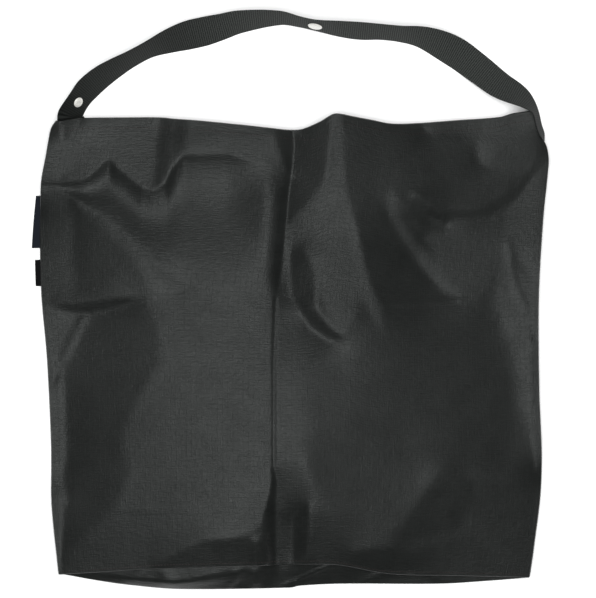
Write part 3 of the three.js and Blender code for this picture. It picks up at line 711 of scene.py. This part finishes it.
def fitted_heights(x, y, right, up, hold, hold_height):
    """Heights whose slopes come closest to the wanted leans, found by conjugate gradients."""
    across_x, across_y = np.diff(x, axis=1), np.diff(y, axis=1)
    along_x, along_y = np.diff(x, axis=0), np.diff(y, axis=0)
    wide = np.pad(across_x, ((0, 0), (1, 1)), "edge")
    half_across = 0.5 * (wide[:, :-1] + wide[:, 1:])
    weight_across = along_y.mean() / across_x
    weight_along = half_across[1:] / along_y
    wanted_across = 0.5 * ((right[:, 1:] + right[:, :-1]) * across_x + (up[:, 1:] + up[:, :-1]) * across_y)
    wanted_along = 0.5 * ((right[1:] + right[:-1]) * along_x + (up[1:] + up[:-1]) * along_y)

    def gathered(flow_across, flow_along, start=-1):
        """What flows along the grid's edges, added up at the points where each edge ends and starts."""
        out = np.zeros(x.shape)
        out[:, 1:] += flow_across
        out[:, :-1] += start * flow_across
        out[1:] += flow_along
        out[:-1] += start * flow_along
        return out

    def pulled(z):
        """How strongly the points pull at given heights."""
        return gathered(weight_across * np.diff(z, axis=1), weight_along * np.diff(z, axis=0)) + hold * z

    diagonal = hold + gathered(weight_across, weight_along, start=1)
    wanted = gathered(weight_across * wanted_across, weight_along * wanted_along) + hold * hold_height
    z = hold_height.copy()
    rest = wanted - pulled(z)
    eased_rest = rest / diagonal
    direction = eased_rest
    size = (rest * eased_rest).sum()
    for _ in range(SOLVE_STEPS):
        answer = pulled(direction)
        stride = size / (direction * answer).sum()
        z = z + stride * direction
        rest = rest - stride * answer
        eased_rest = rest / diagonal
        new_size = (rest * eased_rest).sum()
        direction = eased_rest + new_size / size * direction
        size = new_size
    return z


print("solver of", SOLVE_STEPS, "steps")

# %% Ripples and the zigzag crease
def ripple_heights(x, y, ripples):
    """Small crests and troughs to add to a grid of heights."""
    added = np.zeros(x.shape)
    for half_width, height, points in ripples.values():
        nearest = np.full(x.shape, np.inf)
        for (ax, ay), (bx, by) in zip(points, points[1:]):
            along = ((x - ax) * (bx - ax) + (y - ay) * (by - ay)) / ((bx - ax) ** 2 + (by - ay) ** 2)
            along = np.clip(along, 0, 1)
            nearest = np.minimum(nearest, np.hypot(x - ax - along * (bx - ax), y - ay - along * (by - ay)))
        added += height * np.exp(-(nearest / half_width) ** 2)
    return added


# Zigzag crease under the hem: x, y of its crest
ZIGZAG = [
    (-236, 404), (-210, 407), (-202, 412), (-192, 421), (-184, 429), (-176, 419), (-162, 408), (-151, 399),
    (-139, 397), (-127, 404), (-119, 421), (-109, 433), (-97, 432), (-67, 433), (-41, 426), (-21, 419),
    (-6, 410),
]

# Where the drop under the zigzag has levelled out again: x, y
LEVEL_AGAIN = [(-236, 398), (-222, 389), (-170, 354), (-144, 331), (-106, 304), (-6, 298)]
DROP = {"depth": 6.6, "reach": 21.0, "level_share": 0.8, "right_end": (-70, -5)}


def zigzag_drop(x, y):
    """How far the cloth drops below its zigzag crest: quickly at first, then less and less."""
    crest = np.interp(x, *np.transpose(ZIGZAG))
    below = np.maximum(crest - y, 0)
    level = np.interp(x, *np.transpose(LEVEL_AGAIN))
    depth = DROP["depth"] * (1 - np.exp(-below / DROP["reach"]))
    depth = depth * eased((y - level) / (crest - level), 0, DROP["level_share"])
    return depth * (1 - eased(x, *DROP["right_end"]))


print("zigzag of", len(ZIGZAG), "points")

# %% Heights of the front
HELD = 1000.0
LIP_HOLD = 0.12
START_HEIGHT = 15.0
REST_ROUNDS = 4
REST_HOLD = 0.05
REST_CLEARANCE = 0.6

hold = np.zeros(front_x.shape)
hold[-1] = LIP_HOLD
hold[0] = HELD
hold[:, [0, -1]] = HELD
hold_height = np.full(front_x.shape, START_HEIGHT)
hold_height[-1] = lip_height(front_x[-1])
hold_height[0] = front_bottom_height(front_x[0])
hold_height[:, [0, -1]] = seam_height(front_x, front_y)[:, [0, -1]]

# The front can't lie lower than the cloth under it
rest_height = plain_seam(front_y)
rest_height += gusset_rise(front_x) * (1 - eased(front_y, *GUSSET_FADE))
rest_height += corner_curl(front_x, front_y) + side_lift(front_x, front_y)
for _ in range(REST_ROUNDS):
    front_z = fitted_heights(front_x, front_y, lean_right, lean_up, hold, hold_height)
    sunk = front_z < rest_height + REST_CLEARANCE
    hold = np.where(sunk, np.maximum(hold, REST_HOLD), hold)
    hold_height = np.where(sunk & (hold < HELD), rest_height + 2 * REST_CLEARANCE, hold_height)
front_z += ripple_heights(front_x, front_y, RIPPLES) - zigzag_drop(front_x, front_y)
print("front stands up to", round(float(front_z.max()), 1), "mm high")
front_z = np.maximum(front_z, rest_height)

# %% The front wall's mesh
HEM_DEPTH = 13.0
HEM_EDGE = 0.5
SEAM_WIDTH = 8.0
SEAM_ROLL_FADE = (360, 390)
CREASE_SHARE = 0.465
FRONT_CUT = (488, 452)
WALL_RIM = 0.35

across_share = np.r_[left_share * CREASE_SHARE, CREASE_SHARE + (1 - CREASE_SHARE) * right_share]
up_share = np.linspace(0, 1, FRONT_ROWS)
front_places = np.stack(np.meshgrid(across_share * FRONT_CUT[0], up_share * FRONT_CUT[1]), 2)
below_lip = lip_at(front_x) - front_y
front_thick = CLOTH + CLOTH * eased(HEM_DEPTH - below_lip, -HEM_EDGE, HEM_EDGE)
from_seam = np.minimum(front_x - left_at(front_y), right_at(front_y) - front_x)
front_thick += SEAM_ROLL * (1 - eased(from_seam, 0, SEAM_WIDTH)) * (1 - eased(front_y, *SEAM_ROLL_FADE))
front_outer = np.stack([front_x, front_y, front_z], 2)
front_inner = np.stack([front_x, front_y, front_z - front_thick], 2)
front_mesh = wall_mesh("front_panel_cloth", front_outer, front_inner, front_places, WALL_RIM)
front = place_piece("front_wall", front_mesh, nylon, "front_panel")

# %% [markdown]
# # The back wall
# The back lies flat on the table, apart from its left top corner, which the stiff strap lifts a little,
# and its right edge, which curls up with the front.

# %% The back wall's mesh
BACK_BOTTOM = [
    (-234, 15), (-194, 8), (-164, 4), (-114, 0), (-4, 1), (6, 3), (46, 5), (146, 5), (196, 8), (234, 11),
]
BACK_LIP_DROP = 4
BACK_CUT = (488, 466)
BACK_COLUMNS = 140
BACK_ROWS = 130
BACK_ROUNDS = 6

back_bottom_at = curve_through(BACK_BOTTOM)


def back_plan():
    """Plan of the back's grid: x and y of each point, between the side edges, the bottom and the mouth."""
    u, v = np.meshgrid(np.linspace(0, 1, BACK_COLUMNS), np.linspace(0, 1, BACK_ROWS))
    x = LEFT_EDGE[0][1] + (RIGHT_EDGE[0][1] - LEFT_EDGE[0][1]) * u
    for _ in range(BACK_ROUNDS):
        y = back_bottom_at(x) + (lip_at(x) - BACK_LIP_DROP - back_bottom_at(x)) * v
        x = left_at(y) + (right_at(y) - left_at(y)) * u
    return x, y


def flat_places(grid, width, height):
    """Places on the flat cloth: the grid's columns and rows spread evenly over its cut size."""
    rows, columns = grid.shape[:2]
    return np.stack(np.meshgrid(np.linspace(0, width, columns), np.linspace(0, height, rows)), 2)


back_x, back_y = back_plan()
back_rise = corner_curl(back_x, back_y) + side_lift(back_x, back_y)
back_inner = np.stack([back_x, back_y, back_rise], 2)
back_outer = back_inner + np.array([0, 0, CLOTH])
back_places = flat_places(back_outer, *BACK_CUT)
back_mesh = wall_mesh("back_panel_cloth", back_outer, back_inner, back_places, WALL_RIM)
back = place_piece("back_wall", back_mesh, nylon, "back_panel")

# %% [markdown]
# # The bottom gusset
# A strip is folded inwards between the walls, so that the bag can open at the bottom. Its lower leaf
# peeps out below the front.

# %% The gusset's mesh
GUSSET_TOP = 80
GUSSET_FOLD_RADIUS = 1.2
GUSSET_HALF_WIDTH = 232
GUSSET_CUT = (464, 134)
GUSSET_COLUMNS = 180
LEAF_POINTS = 40
FOLD_POINTS = 9

# The lower leaf rises over this distance from its edge: the start, then the end on the left and the end
# from the middle on, with the stretch of x between the two
OPENING_START = -4
GUSSET_OPENING = (9, 26)
OPENING_SPREAD = (-130, -20)

# Folds across the strip below the front: x at its lower edge, x at its upper edge, half width, height
GUSSET_FOLDS = [
    (-37, -37, 7, 2.2), (-12, 42, 5, 1.4), (-64, -52, 5, 1.2), (70, 92, 8, 1.0), (150, 138, 9, 0.8),
    (-120, -132, 8, 0.9), (-165, -150, 7, 0.7),
]
FOLD_START = (0, 6)
FOLD_FADE = (16, 25)


def gusset_folds(x, y):
    """Small folds of the gusset's lower leaf, only where it shows below the front."""
    from_edge = y - back_bottom_at(x)
    up = from_edge / (front_bottom_at(x) - back_bottom_at(x))
    added = 0 * x
    for low_x, high_x, half_width, height in GUSSET_FOLDS:
        line = low_x + (high_x - low_x) * np.clip(up, 0, 1)
        added = added + height * np.exp(-((x - line) / half_width) ** 2)
    return added * eased(from_edge, *FOLD_START) * (1 - eased(from_edge, *FOLD_FADE))


def gusset_section(across, offset):
    """One section through the gusset from its lower edge round the fold to the front's edge."""
    lower_middle = LAYER + CLOTH / 2
    fold_middle = lower_middle + GUSSET_FOLD_RADIUS
    top = GUSSET_TOP - GUSSET_FOLD_RADIUS
    leaf = np.linspace(0, 1, LEAF_POINTS)
    turn = np.pi * (np.linspace(0, 1, FOLD_POINTS)[1:-1] - 0.5)
    radius = GUSSET_FOLD_RADIUS - offset
    lower_y = back_bottom_at(across) + (top - back_bottom_at(across)) * leaf
    upper_y = top + (front_bottom_at(across) - top) * leaf
    rise = gusset_rise(across)
    opening = GUSSET_OPENING[0] + (GUSSET_OPENING[1] - GUSSET_OPENING[0]) * eased(across, *OPENING_SPREAD)
    lower_rise = rise * eased(lower_y - lower_y[0], OPENING_START, opening)
    lower_rise = lower_rise * (1 - eased(lower_y, *GUSSET_FADE))
    y = np.concatenate([lower_y, top + radius * np.cos(turn), upper_y])
    z = np.concatenate([
        lower_middle + offset + lower_rise + gusset_folds(across + 0 * lower_y, lower_y),
        fold_middle + radius * np.sin(turn),
        fold_middle + GUSSET_FOLD_RADIUS - offset + rise * (1 - eased(upper_y, *GUSSET_FADE)),
    ])
    x = np.clip(across, left_at(y) + GAP, right_at(y) - GAP)
    return np.stack([x, y, z], 1)


gusset_columns = np.linspace(-GUSSET_HALF_WIDTH, GUSSET_HALF_WIDTH, GUSSET_COLUMNS)
gusset_outer, gusset_inner = (
    np.stack([gusset_section(across, offset) for across in gusset_columns], 1)
    for offset in (CLOTH / 2, -CLOTH / 2)
)
gusset_mesh = wall_mesh("gusset_cloth", gusset_outer, gusset_inner, flat_places(gusset_outer, *GUSSET_CUT))
gusset = place_piece("gusset", gusset_mesh, nylon, "bottom_gusset")

# %% [markdown]
# # Stitches
# A row of lockstitch holds the turned hem, and another closes the front's bottom seam. One stitch is a
# small lens of thread that repeats along a line, so Geometry Nodes lay it out: the line is cut into
# steps of one stitch, and each step gets a copy of the lens that is turned along the line.

# %% Node tree for stitches
STITCH = {"Pitch": 3.0 * MM, "Length": 2.3 * MM, "Thread": 0.5 * MM}
THREAD_GRAIN = 900.0


def stitch_tree(finish):
    """A node tree that turns the edges of a mesh into a row of stitches."""
    tree = bpy.data.node_groups.new("stitches", "GeometryNodeTree")
    tree.interface.new_socket("Geometry", in_out="INPUT", socket_type="NodeSocketGeometry")
    for size_name in STITCH:
        tree.interface.new_socket(size_name, in_out="INPUT", socket_type="NodeSocketFloat")
    tree.interface.new_socket("Geometry", in_out="OUTPUT", socket_type="NodeSocketGeometry")
    wire = Wire(tree)
    line, pitch, length, thread = (
        wire.node("NodeGroupInput", output=name) for name in ("Geometry", *STITCH)
    )
    curve = wire.node("GeometryNodeMeshToCurve", {"Mesh": line})
    steps = wire.node("GeometryNodeResampleCurve", {"Curve": curve, "Length": pitch}, mode="LENGTH")
    tangent = wire.node("GeometryNodeInputTangent")
    turn = wire.node("FunctionNodeAlignRotationToVector", {"Vector": tangent}, axis="X")
    lens_shape = wire.node("GeometryNodeMeshUVSphere", {"Segments": 8, "Rings": 5, "Radius": 0.5})
    size = wire.node("ShaderNodeCombineXYZ", {0: length, 1: thread, 2: thread})
    sockets = {"Points": steps, "Instance": lens_shape, "Rotation": turn, "Scale": size}
    copies = wire.node("GeometryNodeInstanceOnPoints", sockets)
    real = wire.node("GeometryNodeRealizeInstances", {"Geometry": copies})
    done = wire.node("GeometryNodeSetMaterial", {"Geometry": real, "Material": finish})
    end = tree.nodes.new("NodeGroupOutput")
    tree.links.new(done.socket, end.inputs["Geometry"])
    return tree


thread_finish, thread_wire, thread_shader = new_finish("thread", Roughness=0.75)
thread_lumps = noise(thread_wire, on_piece(thread_wire), THREAD_GRAIN, 2.0)
thread_colour = mixed(thread_wire, thread_lumps, (0.016, 0.011, 0.011, 1), (0.04, 0.028, 0.028, 1))
feed(thread_shader, "Base Color", thread_colour)
stitches_tree = stitch_tree(thread_finish)
print("tree", stitches_tree.name, "with", len(stitches_tree.nodes), "nodes")

# %% Stitch rows
HEM_STITCH = 9.5
BOTTOM_STITCH = 3.0
STITCH_LIFT = 0.1
BARE_COLUMNS = 4


def front_line(height_at):
    """Points of a line across the front's outer face, at a height y for each column of its grid."""
    points = []
    for x, y, z in zip(front_x.T, front_y.T, front_z.T):
        at = height_at(x.mean())
        points.append((np.interp(at, y, x), at, np.interp(at, y, z) + STITCH_LIFT))
    return np.array(points)[BARE_COLUMNS:-BARE_COLUMNS]


def stitch_rows(name, lines):
    """One piece of stitches along several lines."""
    mesh = bpy.data.meshes.new(name)
    counts = np.cumsum([0] + [len(line) for line in lines])
    edges = [(i, i + 1) for low, high in zip(counts, counts[1:]) for i in range(low, high - 1)]
    mesh.from_pydata(in_frame(np.concatenate(lines)), edges, [])
    rows = add_object(name, mesh)
    modifier = rows.modifiers.new("stitches", "NODES")
    modifier.node_group = stitches_tree
    for socket in stitches_tree.interface.items_tree:
        if socket.name in STITCH:
            modifier[socket.identifier] = STITCH[socket.name]
    evaluated = rows.evaluated_get(bpy.context.evaluated_depsgraph_get())
    finished = bpy.data.meshes.new_from_object(evaluated)
    rows.modifiers.remove(modifier)
    rows.data = finished
    print(name, len(finished.polygons), "faces")
    return rows


stitches = stitch_rows("stitches", [
    front_line(lambda x: lip_at(x) - HEM_STITCH),
    front_line(lambda x: front_bottom_at(x) + BOTTOM_STITCH),
])
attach(stitches, "root")

# %% [markdown]
# # Webbing
# The strap is one length of ribbed webbing. Webbing is woven from thick yarns that pass over and under
# each other, so its faces are rows of small pillows. They are large enough to show, so they are in the
# mesh. The finish paints light and shade along the strap: painted sheen makes its middle lighter, and
# painted shade keeps it black at both ends.

# %% Webbing finish
RIB_PITCH = 2.1
FIBRE = 1500.0
YARN_LUMPS = 800.0

# Painted sheen and painted shade along the strap: where a change starts and ends, in metres, and the share
# that it adds or keeps
PAINTED_SHEEN = [(0.03, 0.09, 0.43), (0.16, 0.27, 0.57)]
PAINTED_SHADE = [(0.4, 0.46, 0.78), (0.53, 0.565, 0.1)]


def webbing(name, shade_colours, sheen_colours):
    material, wire, shader = new_finish(name, Roughness=0.8, Specular_IOR_Level=0.3)
    place, across, along = on_cloth(wire)
    fibre = noise(wire, place, FIBRE, 2.0)
    rib = ramped(wire, wave(wire, along, RIB_PITCH * MM), -0.7, 0.7)
    yarn = ramped(wire, noise(wire, place, YARN_LUMPS, 1.0), 0.3, 0.7)
    # Share of painted sheen: it lightens the strap's middle, and painted shade darkens both its ends
    wear_and_sheen = sum(ramped(wire, along, start, end, 0.0, share) for start, end, share in PAINTED_SHEEN)
    for start, end, share in PAINTED_SHADE:
        wear_and_sheen = wear_and_sheen * ramped(wire, along, start, end, 1.0, share)
    grain = rib * 0.55 + yarn * 0.35 + fibre * 0.1
    shade_colour = mixed(wire, grain, *shade_colours)
    feed(shader, "Base Color", mixed(wire, wear_and_sheen, shade_colour, mixed(wire, grain, *sheen_colours)))
    feed(shader, "Roughness", 0.7 + fibre * 0.2)
    feed(shader, "Normal", bumped(wire, fibre, 0.3, 0.2 * MM))
    return material


black_webbing = webbing(
    "webbing",
    # The first colours are the strap in painted shade, the second the strap in painted sheen
    shade_colours=((0.001, 0.0011, 0.001, 1), (0.017, 0.0187, 0.0177, 1)),
    sheen_colours=((0.003, 0.0033, 0.0031, 1), (0.06, 0.0652, 0.0618, 1)),
)
print("finish", black_webbing.name)

# %% Route and roll of the strap
WEBBING_WIDTH = 30.0
WEBBING_THICKNESS = 1.6
EDGE_THICKNESS = 0.6
SELVEDGE_START = 0.46

# Strap from left to right: x, y of its middle, roll in degrees, positive with the outer edge high
STRAP = [
    (-219, 436, 8), (-218.6, 452, 15), (-221.5, 465, 27), (-222.8, 470.5, 42), (-219.8, 477, 49),
    (-212.8, 487.9, 52), (-205, 498, 47), (-192, 509.2, 50), (-177, 518.9, 58), (-162, 527.3, 65),
    (-143.2, 537.2, 64), (-123.5, 545.6, 46), (-104, 552.2, 27), (-89, 555.7, 27), (-74, 559.3, 38),
    (-54, 564.5, 50), (-14, 568, 71), (6, 564, 78), (22, 560.6, 77), (46, 557.2, 67), (66, 555.2, 63),
    (86, 554.2, 67), (106, 552.2, 66), (126, 549.4, 54), (145.5, 542.6, 32), (166, 532.3, 6),
    (186, 517.3, -8), (204.5, 502.8, -20), (224.5, 491, -40), (234, 482.5, -57), (239.8, 474, -70),
    (242.8, 462, -71.5), (245.6, 453.5, -72), (247.6, 446.5, -80),
]

# Height of its lowest edge: at its first places, in the lifted corner, and everywhere else
CORNER_LIFTS = [2, 2.2, 1.2, 0.6, 0.5, 0.6]
TABLE_LIFT = 0.15

strap_rows = np.array(STRAP, float)
strap_lifts = np.r_[CORNER_LIFTS, np.full(len(STRAP) - len(CORNER_LIFTS), TABLE_LIFT)]
strap_reach = np.r_[0, np.cumsum(np.hypot(*np.diff(strap_rows[:, :2], axis=0).T))]
strap_table = np.column_stack([strap_reach, strap_rows, strap_lifts])
strap_x, strap_y, strap_roll, strap_lift = (curve_through(strap_table, column) for column in (1, 2, 3, 4))


def strap_frame(at):
    """Middle of the strap and its directions along, across and off its face, at places along its length."""
    at = np.atleast_1d(at)
    step = 0.5
    ahead = np.stack([strap_x(at + step), strap_y(at + step), 0 * at], 1)
    behind = np.stack([strap_x(at - step), strap_y(at - step), 0 * at], 1)
    along = ahead - behind
    along /= np.linalg.norm(along, axis=1, keepdims=True)
    outwards = np.stack([-along[:, 1], along[:, 0], 0 * at], 1)
    roll = np.radians(strap_roll(at))
    up = np.array([0, 0, 1.0])
    across = outwards * np.cos(roll)[:, None] + up * np.sin(roll)[:, None]
    face = np.cross(along, across)
    lean = np.abs(np.sin(roll))
    edge_drop = WEBBING_WIDTH * 0.5 * lean + EDGE_THICKNESS / 2 * np.cos(roll)
    face_drop = WEBBING_WIDTH * SELVEDGE_START * lean + WEBBING_THICKNESS / 2 * np.cos(roll)
    middle = np.stack([strap_x(at), strap_y(at), strap_lift(at) + np.maximum(edge_drop, face_drop)], 1)
    return middle, along, across, face


print("strap is", round(strap_reach[-1]), "mm long in plan")

# %% The strap's mesh
RIB_HEIGHT = 0.22
SELVEDGE_THINNING = 0.45
STRAP_SHARP = 65
YARNS = 12
STEPS_PER_RIB = 4
POINTS_PER_YARN = 3

strap_steps = np.linspace(0, strap_reach[-1], int(strap_reach[-1] / RIB_PITCH * STEPS_PER_RIB))
strap_columns = np.linspace(-0.5, 0.5, YARNS * POINTS_PER_YARN + 1)
middle, along, across, face = strap_frame(strap_steps)
yarn = (strap_columns + 0.5) * YARNS
pillow_across = np.abs(np.sin(np.pi * yarn))
shift = 0.5 * (np.floor(yarn) % 2)
pillow_along = 0.5 + 0.5 * np.cos(2 * np.pi * (strap_steps[:, None] / RIB_PITCH + shift[None, :]))
pillow = RIB_HEIGHT * pillow_across[None, :] * pillow_along
selvedge = 1 - SELVEDGE_THINNING * eased(np.abs(strap_columns), SELVEDGE_START, 0.5)[None, :]
half_thick = (WEBBING_THICKNESS / 2 - RIB_HEIGHT) * selvedge
spread = middle[:, None, :] + across[:, None, :] * (strap_columns * WEBBING_WIDTH)[None, :, None]
strap_top = spread + face[:, None, :] * (half_thick + pillow)[:, :, None]
strap_under = spread - face[:, None, :] * (half_thick + RIB_HEIGHT * pillow_across - pillow)[:, :, None]
strap_places = np.stack(np.meshgrid(strap_columns * WEBBING_WIDTH, strap_steps), 2)
strap_grids = [grid[:, ::-1] for grid in (strap_top, strap_under, strap_places)]
strap_mesh = wall_mesh("strap_webbing", *strap_grids, sharp=STRAP_SHARP)
place_piece("webbing_strap", strap_mesh, black_webbing, "strap")

# %% [markdown]
# # Snaps
# Two pale metal snaps are riveted through the strap. Each is a turned shape: a domed cap in front, a shank
# through the webbing and a ring behind. A profile spun round an axis gives it.

# %% Metal finish
SCUFF_GRAIN = 900.0


def pale_metal(name, colour, wear_and_sheen):
    material, wire, shader = new_finish(name, Metallic=0.3)
    scuffs = noise(wire, on_piece(wire), SCUFF_GRAIN, 4.0)
    feed(shader, "Base Color", mixed(wire, ramped(wire, scuffs, 0.45, 0.75), colour, wear_and_sheen))
    feed(shader, "Roughness", 0.3 + scuffs * 0.2)
    feed(shader, "Normal", bumped(wire, scuffs, 0.15, 0.1 * MM))
    return material


snap_metal = pale_metal("snap_metal", (0.85, 0.84, 0.8, 1), (0.62, 0.61, 0.57, 1))
print("finish", snap_metal.name)

# %% Turned snaps
LOWER_SNAP = {"x": -216, "y": 485.5, "cap": 5.2}
UPPER_SNAP = {"x": 21.5, "y": 563, "cap": 7.2}
SNAP_SIDES = 48
SNAP_SHARP = 50
SHANK = 1.7
FACE_GAP = 0.1
RING_SHARE = 0.85
SEARCH_STEPS = 4000

# Outline of the ring behind and of the cap in front: share of its radius, distance off the webbing
RING = [(0, 0.5), (0.42, 0.5), (0.5, 1.3), (0.75, 1.4), (0.95, 0.9), (1, 0.4), (1, 0)]
CAP = [
    (0.95, 0), (1, 0.35), (0.97, 0.8), (0.88, 1.25), (0.7, 1.65), (0.45, 1.85), (0.3, 1.75), (0.15, 1.6),
    (0, 1.55),
]


def snap_profile(cap):
    """Radius and height of the snap's outline from the middle of its ring to the middle of its cap."""
    side = WEBBING_THICKNESS / 2 + FACE_GAP
    points = [(cap * RING_SHARE * share, -side - depth) for share, depth in RING]
    points += [(SHANK, -side), (SHANK, side)]
    points += [(cap * share, side + height) for share, height in CAP]
    return np.array(points)


def turned_mesh(name, profile, sides):
    """A profile spun round the Z axis, with its first and last point on the axis."""
    ring = profile[1:-1]
    angles = np.linspace(0, 2 * np.pi, sides, endpoint=False)
    points = [(0, 0, profile[0][1])]
    points += [(r * np.cos(a), r * np.sin(a), h) for r, h in ring for a in angles]
    points.append((0, 0, profile[-1][1]))
    faces = []
    for side in range(sides):
        beside = (side + 1) % sides
        faces.append((0, 1 + beside, 1 + side))
        for level in range(len(ring) - 1):
            low = 1 + level * sides
            faces.append((low + side, low + beside, low + sides + beside, low + sides + side))
        last = 1 + (len(ring) - 1) * sides
        faces.append((last + side, last + beside, len(points) - 1))
    return smooth_mesh(name, points, faces, SNAP_SHARP)


def snap_piece(name, node, sizes):
    """A snap riveted through the strap, at the place of the strap's middle nearest to the given one."""
    tries = np.linspace(0, strap_reach[-1], SEARCH_STEPS)
    nearest = tries[np.argmin(np.hypot(strap_x(tries) - sizes["x"], strap_y(tries) - sizes["y"]))]
    middle, along, across, face = (part[0] for part in strap_frame(nearest))
    mesh = turned_mesh(name, snap_profile(sizes["cap"]), SNAP_SIDES)
    turn = Matrix.Identity(4)
    for column, direction in enumerate((along, across, face)):
        for row in range(3):
            turn[row][column] = direction[row] * MM
    turn.translation = Vector(in_frame(middle))
    mesh.transform(turn)
    place_piece(name, mesh, snap_metal, node)


snap_piece("snap_low", "lower_snap", LOWER_SNAP)
snap_piece("snap_high", "upper_snap", UPPER_SNAP)

# %% [markdown]
# # Woven tabs
# Two short ribbons are folded double and caught in the left seam. Each is a strip carried round a small
# fold.

# %% Ribbon finish
RIBBON_YARN = 0.5 * MM
RIBBON_END = 0.7 * MM
FUZZ_GRAIN = 700.0


def ribbon(name, colour, lighter):
    material, wire, shader = new_finish(name, Roughness=0.7, Specular_IOR_Level=0.2)
    place, across, up = on_cloth(wire)
    yarns = wave(wire, up, RIBBON_YARN) * 0.5 + 0.5
    ends = wave(wire, across, RIBBON_END) * 0.5 + 0.5
    weave = yarns * 0.7 + ends * 0.3
    fuzz = noise(wire, place, FUZZ_GRAIN)
    feed(shader, "Base Color", mixed(wire, weave * 0.6 + fuzz * 0.4, colour, lighter))
    feed(shader, "Roughness", 0.6 + fuzz * 0.25)
    feed(shader, "Normal", bumped(wire, weave, 0.4, 0.15 * MM))
    return material


navy_ribbon = ribbon("navy_ribbon", (0.005, 0.006, 0.0088, 1), (0.0115, 0.014, 0.0195, 1))
black_ribbon = ribbon("black_ribbon", (0.0018, 0.0019, 0.002, 1), (0.0055, 0.0058, 0.006, 1))
print("finishes", navy_ribbon.name, black_ribbon.name)

# %% The tabs' meshes
UPPER_TAB = {"low": 340, "high": 392, "reach_low": 9, "reach_high": 5.5}
RIBBON = 0.45
TAB_MIDDLE = 1.2
TAB_FOLD = 0.32
TAB_ROWS = 30
TAB_LEAF_POINTS = 10
TAB_FOLD_POINTS = 9


def tab_piece(name, node, sizes, finish):
    """A ribbon folded over at its outer edge, from the seam and back to it."""
    y = np.linspace(sizes["low"], sizes["high"], TAB_ROWS)
    seam = left_at(y) - GAP / 2
    reach = np.interp(y, (sizes["low"], sizes["high"]), (sizes["reach_low"], sizes["reach_high"]))
    leaf = np.linspace(0, 1, TAB_LEAF_POINTS)
    turn = np.linspace(0, np.pi, TAB_FOLD_POINTS)[1:-1]

    def section(offset):
        """One face of the ribbon, this far off its middle."""
        radius = TAB_FOLD + offset
        outer = seam - reach + TAB_FOLD + RIBBON / 2
        upper = seam[:, None] + (outer - seam)[:, None] * leaf[None, :]
        fold = outer[:, None] - radius * np.sin(turn)[None, :]
        x = np.concatenate([upper, fold, upper[:, ::-1]], 1)
        z = np.concatenate([
            np.full(len(leaf), radius), radius * np.cos(turn), np.full(len(leaf), -radius),
        ]) + TAB_MIDDLE
        return np.stack([x, np.repeat(y[:, None], x.shape[1], 1), np.repeat(z[None, :], len(y), 0)], 2)

    outer_face = section(RIBBON / 2)
    inner_face = section(-RIBBON / 2)
    span = np.linspace(0, 2 * sizes["reach_low"], outer_face.shape[1])
    places = np.stack(np.meshgrid(span, y), 2)
    mesh = wall_mesh(name, outer_face[:, ::-1], inner_face[:, ::-1], places[:, ::-1])
    place_piece(name, mesh, finish, node)


tab_piece("tab_high", "upper_tab", UPPER_TAB, navy_ribbon)
tab_piece("tab_low", "lower_tab", LOWER_TAB, black_ribbon)
